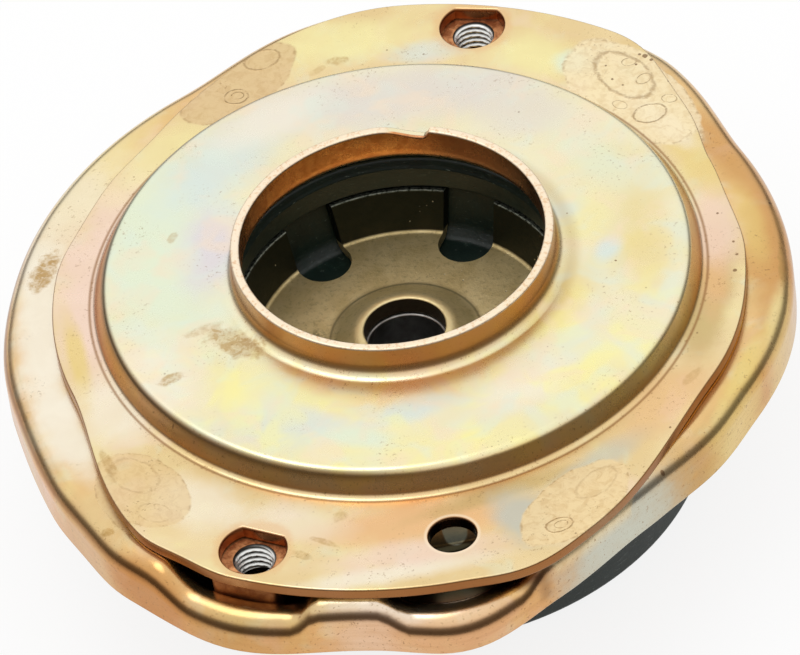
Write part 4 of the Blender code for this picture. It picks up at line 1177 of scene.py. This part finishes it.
def cup_finish():
    """Dull olive plating with scuffs, a dark wall of painted shade, painted shade in the bore and the
    crease round the boss, and painted highlights at the rim and the boss.
    """
    f = Finish("olive_cup_finish", metallic=0.8)
    clouds = f.noise(8.0, 4.0, 0.6, 0.5, 12.0)
    fine = f.noise(0.8, 4.0, 0.7, 0.0, 31.0)
    base = f.mix(clouds.rising(0.3, 0.7), tone(238, 218, 164), tone(214, 192, 136))
    base = f.mix(fine.rising(0.5, 0.72) * 0.4, base, tone(140, 122, 82))
    scuff = (1 - f.spot(-19.0, -2.0, 5.0, 9.0, 60.0, 1.2).rising(0.6, 1.1)) * fine.rising(0.38, 0.6)
    base = f.mix(scuff * 0.75, base, tone(80, 76, 54))
    cone = f.radius.band(12.2, 2.6)
    base = f.mix(cone * 0.35, base, tone(226, 204, 140))
    # Painted shade in the crease round the boss's foot
    crease_shade = f.radius.band(14.6, 0.45) * f.z.band(CUP_FLOOR, 0.6)
    base = f.mix(crease_shade * 0.6, base, tone(96, 84, 58))
    # Painted shade: the cup's wall made near black, darkest towards the rim
    wall = f.z.rising(CUP_FLOOR + 0.15, CUP_FLOOR + 0.6) * f.radius.rising(27.5, 28.5)
    cup_wall_shade = f.mix(clouds.rising(0.3, 0.7), tone(42, 44, 34), tone(28, 35, 28))
    height = f.z.rising(CUP_FLOOR + 0.6, CUP_FLOOR + 3.5)
    base = f.mix(wall * 0.98, base, f.mix(height * 0.8, cup_wall_shade, tone(18, 29, 24)))
    # Painted highlight on the boss's land round the bore
    land = f.radius.band(CUP_BORE + 0.8, 1.5) * f.z.rising(CUP_FLOOR + 2.2, CUP_FLOOR + 2.7)
    base = f.mix(land * 0.85, base, tone(246, 226, 170))
    # Painted shade inside the bore
    bore = (1 - f.radius.rising(CUP_BORE + 0.02, CUP_BORE + 0.15)) * (1 - f.up.rising(0.3, 0.7))
    base = f.mix(bore * 0.9, base, tone(60, 44, 34))
    # Painted highlight: a broken pale line along the rim
    rim = f.z.rising(CUP_RIM - 0.5, CUP_RIM - 0.15) * fine.rising(0.35, 0.6)
    base = f.mix(rim * 0.6, base, tone(170, 176, 160))
    specks = 1 - f.cells(2.2).rising(0.05, 0.09)
    base = f.mix(specks * f.noise(6.0, 2.0).rising(0.48, 0.6) * 0.7, base, tone(230, 222, 196))
    f.colour(base)
    f.rough((0.4 + clouds * 0.14 - land * 0.12 - rim * 0.1).clamped())
    f.bump(fine + f.noise(2.5, 3.0, 0.6, 0.0, 8.0) * 0.8 - specks * 0.6, 0.06)
    return f.material


def rubber_finish(name, dark, pale, roughness, bumps):
    """Moulded rubber: near black, a little greener where it is dusty, with flow marks."""
    f = Finish(name, ior=1.52)
    clouds = f.noise(9.0, 4.0, 0.6, 0.6, 14.0)
    fine = f.noise(0.7, 3.0, 0.6, 0.0, 25.0)
    base = f.mix(clouds.rising(0.35, 0.75), tone(*dark), tone(*pale))
    marks = f.noise(1.0, 3.0, 0.7, 0.4, 6.0, f.stretched(3.5, 3.5, 0.8)).rising(0.6, 0.7)
    base = f.mix(marks * 0.35, base, tone(*(value + 30 for value in pale)))
    chalk = f.noise(0.6, 3.0, 0.7, 0.0, 44.0, f.stretched(2.2, 2.2, 0.6)).rising(0.64, 0.7)
    line = f.z.band(43.1, 0.8) * (1 - f.radius.rising(32.0, 32.6))
    base = f.mix(chalk * (0.25 + line * 0.6), base, tone(150, 164, 154))
    f.colour(base)
    f.rough((roughness + clouds * 0.16 - marks * 0.12).clamped())
    low = f.bump(f.noise(5.0, 3.0, 0.5, 0.0, 3.0), bumps)
    f.bump(fine + marks * 0.6, 0.03, low)
    return f.material


def steel_finish(name, pale, dark, roughness, lathe=0.0):
    """Bare or coated steel with turning lines and a little staining."""
    f = Finish(name, metallic=1.0)
    clouds = f.noise(6.0, 4.0, 0.6, 0.4, 19.0)
    fine = f.noise(0.5, 3.0, 0.6, 0.0, 37.0)
    lines = f.noise(1.0, 2.0, 0.6, 0.0, 9.0, f.stretched(40.0, 40.0, 0.18))
    base = f.mix(clouds.rising(0.35, 0.75), tone(*pale), tone(*dark))
    f.colour(f.mix(fine.rising(0.6, 0.75) * 0.3, base, tone(*dark)))
    f.rough((roughness + clouds * 0.1 + fine * 0.04).clamped())
    f.bump(lines * lathe + fine * 0.3, 0.02)
    return f.material


def coated_finish():
    f = Finish("black_coated_seat_finish", specular=0.5)
    clouds = f.noise(11.0, 4.0, 0.6, 0.5, 21.0)
    fine = f.noise(0.6, 3.0, 0.6, 0.0, 33.0)
    worn = fine.rising(0.62, 0.72) * clouds.rising(0.5, 0.65)
    base = f.mix(clouds.rising(0.3, 0.7), tone(34, 36, 36), tone(46, 47, 46))
    f.colour(f.mix(worn * 0.4, base, tone(96, 92, 86)))
    f.rough((0.34 + clouds * 0.14 + worn * 0.15).clamped())
    f.bump(fine * 0.6 + f.noise(2.0, 3.0, 0.6, 0.0, 4.0), 0.03)
    return f.material


def cage_finish():
    f = Finish("moulded_cage_finish", specular=0.5)
    clouds = f.noise(7.0, 3.0, 0.6, 0.3, 27.0)
    fine = f.noise(0.5, 3.0, 0.6, 0.0, 39.0)
    f.colour(f.mix(clouds.rising(0.3, 0.7), tone(222, 214, 192), tone(204, 192, 164)))
    f.rough((0.42 + fine * 0.12).clamped())
    f.bump(fine, 0.02)
    return f.material


# Pieces and the bodies that they ride on


def dress():
    plate = place(build_plate(), "housing", "yellow_zinc_plate", "top_plate")
    paint(plate, plate_finish())
    pan = place(build_pan(), "housing", "yellow_zinc_pan", "lower_pan")
    paint(pan, pan_finish())
    nuts = nut_finish()
    for label, hole in (("rear", REAR_HOLE), ("front", FRONT_HOLE)):
        nut = build_nut(f"threaded_nut_{label}", hole)
        place(nut, "housing", "weld_nut_steel", f"weld_nut_{label}")
        paint(nut, nuts)
    cup = place(build_cup(), "housing", "olive_plated_cup", "inner_cup")
    paint(cup, cup_finish())
    bush = place(build_bush(), "housing", "bare_steel", "rod_bush")
    paint(bush, steel_finish("bare_steel_finish", (176, 174, 170), (128, 124, 118), 0.3, 1.0))
    ring = place(build_rubber(), "housing", "moulded_rubber", "rubber_isolator")
    paint(ring, rubber_finish("moulded_rubber_finish", (9, 27, 21), (16, 38, 30), 0.34, 0.25))

    race_steel = steel_finish("bearing_steel_finish", (196, 196, 198), (160, 158, 154), 0.2, 0.6)
    upper = place(build_race("upper_race", 1), "housing", "bearing_steel", "bearing_upper_race")
    lower = place(build_race("lower_race", -1), "seat", "bearing_steel", "bearing_lower_race")
    paint(upper, race_steel)
    paint(lower, race_steel)

    ground = ball_mesh()
    ground.materials.append(steel_finish("ball_steel_finish", (222, 222, 224), (200, 200, 202), 0.08))
    for number in range(1, 15):
        node = f"bearing_ball_{number:02d}"
        place(build_ball(f"ground_ball_{number:02d}", node, ground), "ball_set", "ball_steel", node)
    paint(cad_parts["bearing_cage"], cage_finish())

    seal = place(build_seal(), "seat", "seal_rubber", "bearing_seal")
    paint(seal, rubber_finish("seal_rubber_finish", (18, 19, 20), (28, 29, 30), 0.4, 0.1))
    seat = place(build_seat(), "seat", "black_coated_seat", "spring_seat")
    paint(seat, coated_finish())
    pad = place(build_pad(), "seat", "pad_rubber", "spring_pad")
    paint(pad, rubber_finish("pad_rubber_finish", (23, 34, 29), (31, 42, 37), 0.5, 0.12))


def build_floor():
    """A small round table, nearly white, that keeps the object's shadow."""
    shape = bmesh.new()
    bmesh.ops.create_circle(shape, cap_ends=True, segments=96, radius=FLOOR_RADIUS)
    mesh = bpy.data.meshes.new("floor")
    shape.to_mesh(mesh)
    shape.free()
    floor = added("floor", mesh)
    floor.location = (0, 0, -0.0003)
    f = Finish("pale_floor", specular=0.2)
    f.colour((0.95, 0.95, 0.95))
    f.rough(0.9)
    straight, mirrored = f.seen()
    glow = f.node("ShaderNodeEmission", {}, {"Color": (1, 1, 1), "Strength": 1.0})
    # Below the mount the floor doesn't glow, so the rod's bore stays dark
    beyond_seat = f.radius.rising(40.0, 52.0)
    share = straight.at_least(mirrored) * beyond_seat * 0.85
    parts = {0: share, 1: f.shader.outputs[0], 2: glow.outputs[0]}
    shown = f.node("ShaderNodeMixShader", {}, parts)
    f.feed(f.tree.nodes["Material Output"].inputs["Surface"], shown.outputs[0])
    paint(floor, f.material)


def build_light():
    """A white room whose soft ceiling dims towards the ground, with one wide lamp overhead."""
    world = bpy.data.worlds.new("studio")
    bpy.context.scene.world = world
    world.use_nodes = True
    g = Graph(world.node_tree)
    seat = g.node("ShaderNodeTexCoord", {}, {})
    lean = g.node(
        "ShaderNodeVectorMath",
        {"operation": "DOT_PRODUCT"},
        {0: seat.outputs["Generated"], 1: (0.0, 0.25, 1.0)},
    )
    height = Number(g, lean.outputs["Value"])
    stops = [(at, (level, level, level)) for at, level in ROOM_LEVELS]
    sky = g.node("ShaderNodeValToRGB", {"stops": stops}, {0: height}).outputs[0]
    ceiling = g.node("ShaderNodeBackground", {}, {"Color": sky, "Strength": ROOM_STRENGTH})
    white = g.node("ShaderNodeBackground", {}, {"Color": (1, 1, 1), "Strength": 1.0})
    straight, mirrored = g.seen()
    bare = straight.at_least(mirrored * height.rising(0.26, 0.6))
    shown = g.node("ShaderNodeMixShader", {}, {0: bare, 1: ceiling.outputs[0], 2: white.outputs[0]})
    g.feed(g.tree.nodes["World Output"].inputs["Surface"], shown.outputs[0])

    lamp = bpy.data.lights.new("wide_lamp", "SUN")
    lamp.energy = 0.3
    lamp.angle = math.radians(28)
    holder = added("wide_lamp", lamp)
    towards = Vector((-0.25, 0.1, 1.0))
    holder.rotation_euler = towards.to_track_quat("Z", "Y").to_euler()


def build_camera():
    """The photograph's view: a long lens, 44 degrees above the ground, turned a little."""
    camera = bpy.data.cameras.new("camera")
    camera.lens = 450
    camera.sensor_width = 36
    camera.clip_end = 100
    holder = added("camera", camera)
    right = (0.98955, -0.09970, -0.10415)
    up = (0.14418, 0.68428, 0.71481)
    back = (0.0, -0.72236, 0.69151)
    turn = Matrix((right, up, back)).transposed().to_4x4()
    holder.matrix_world = Matrix.Translation((-0.00090, -1.37684, 1.34885)) @ turn
    bpy.context.scene.camera = holder


build_camera()
dress()
build_floor()
build_light()
bpy.context.scene.view_settings.view_transform = "Standard"
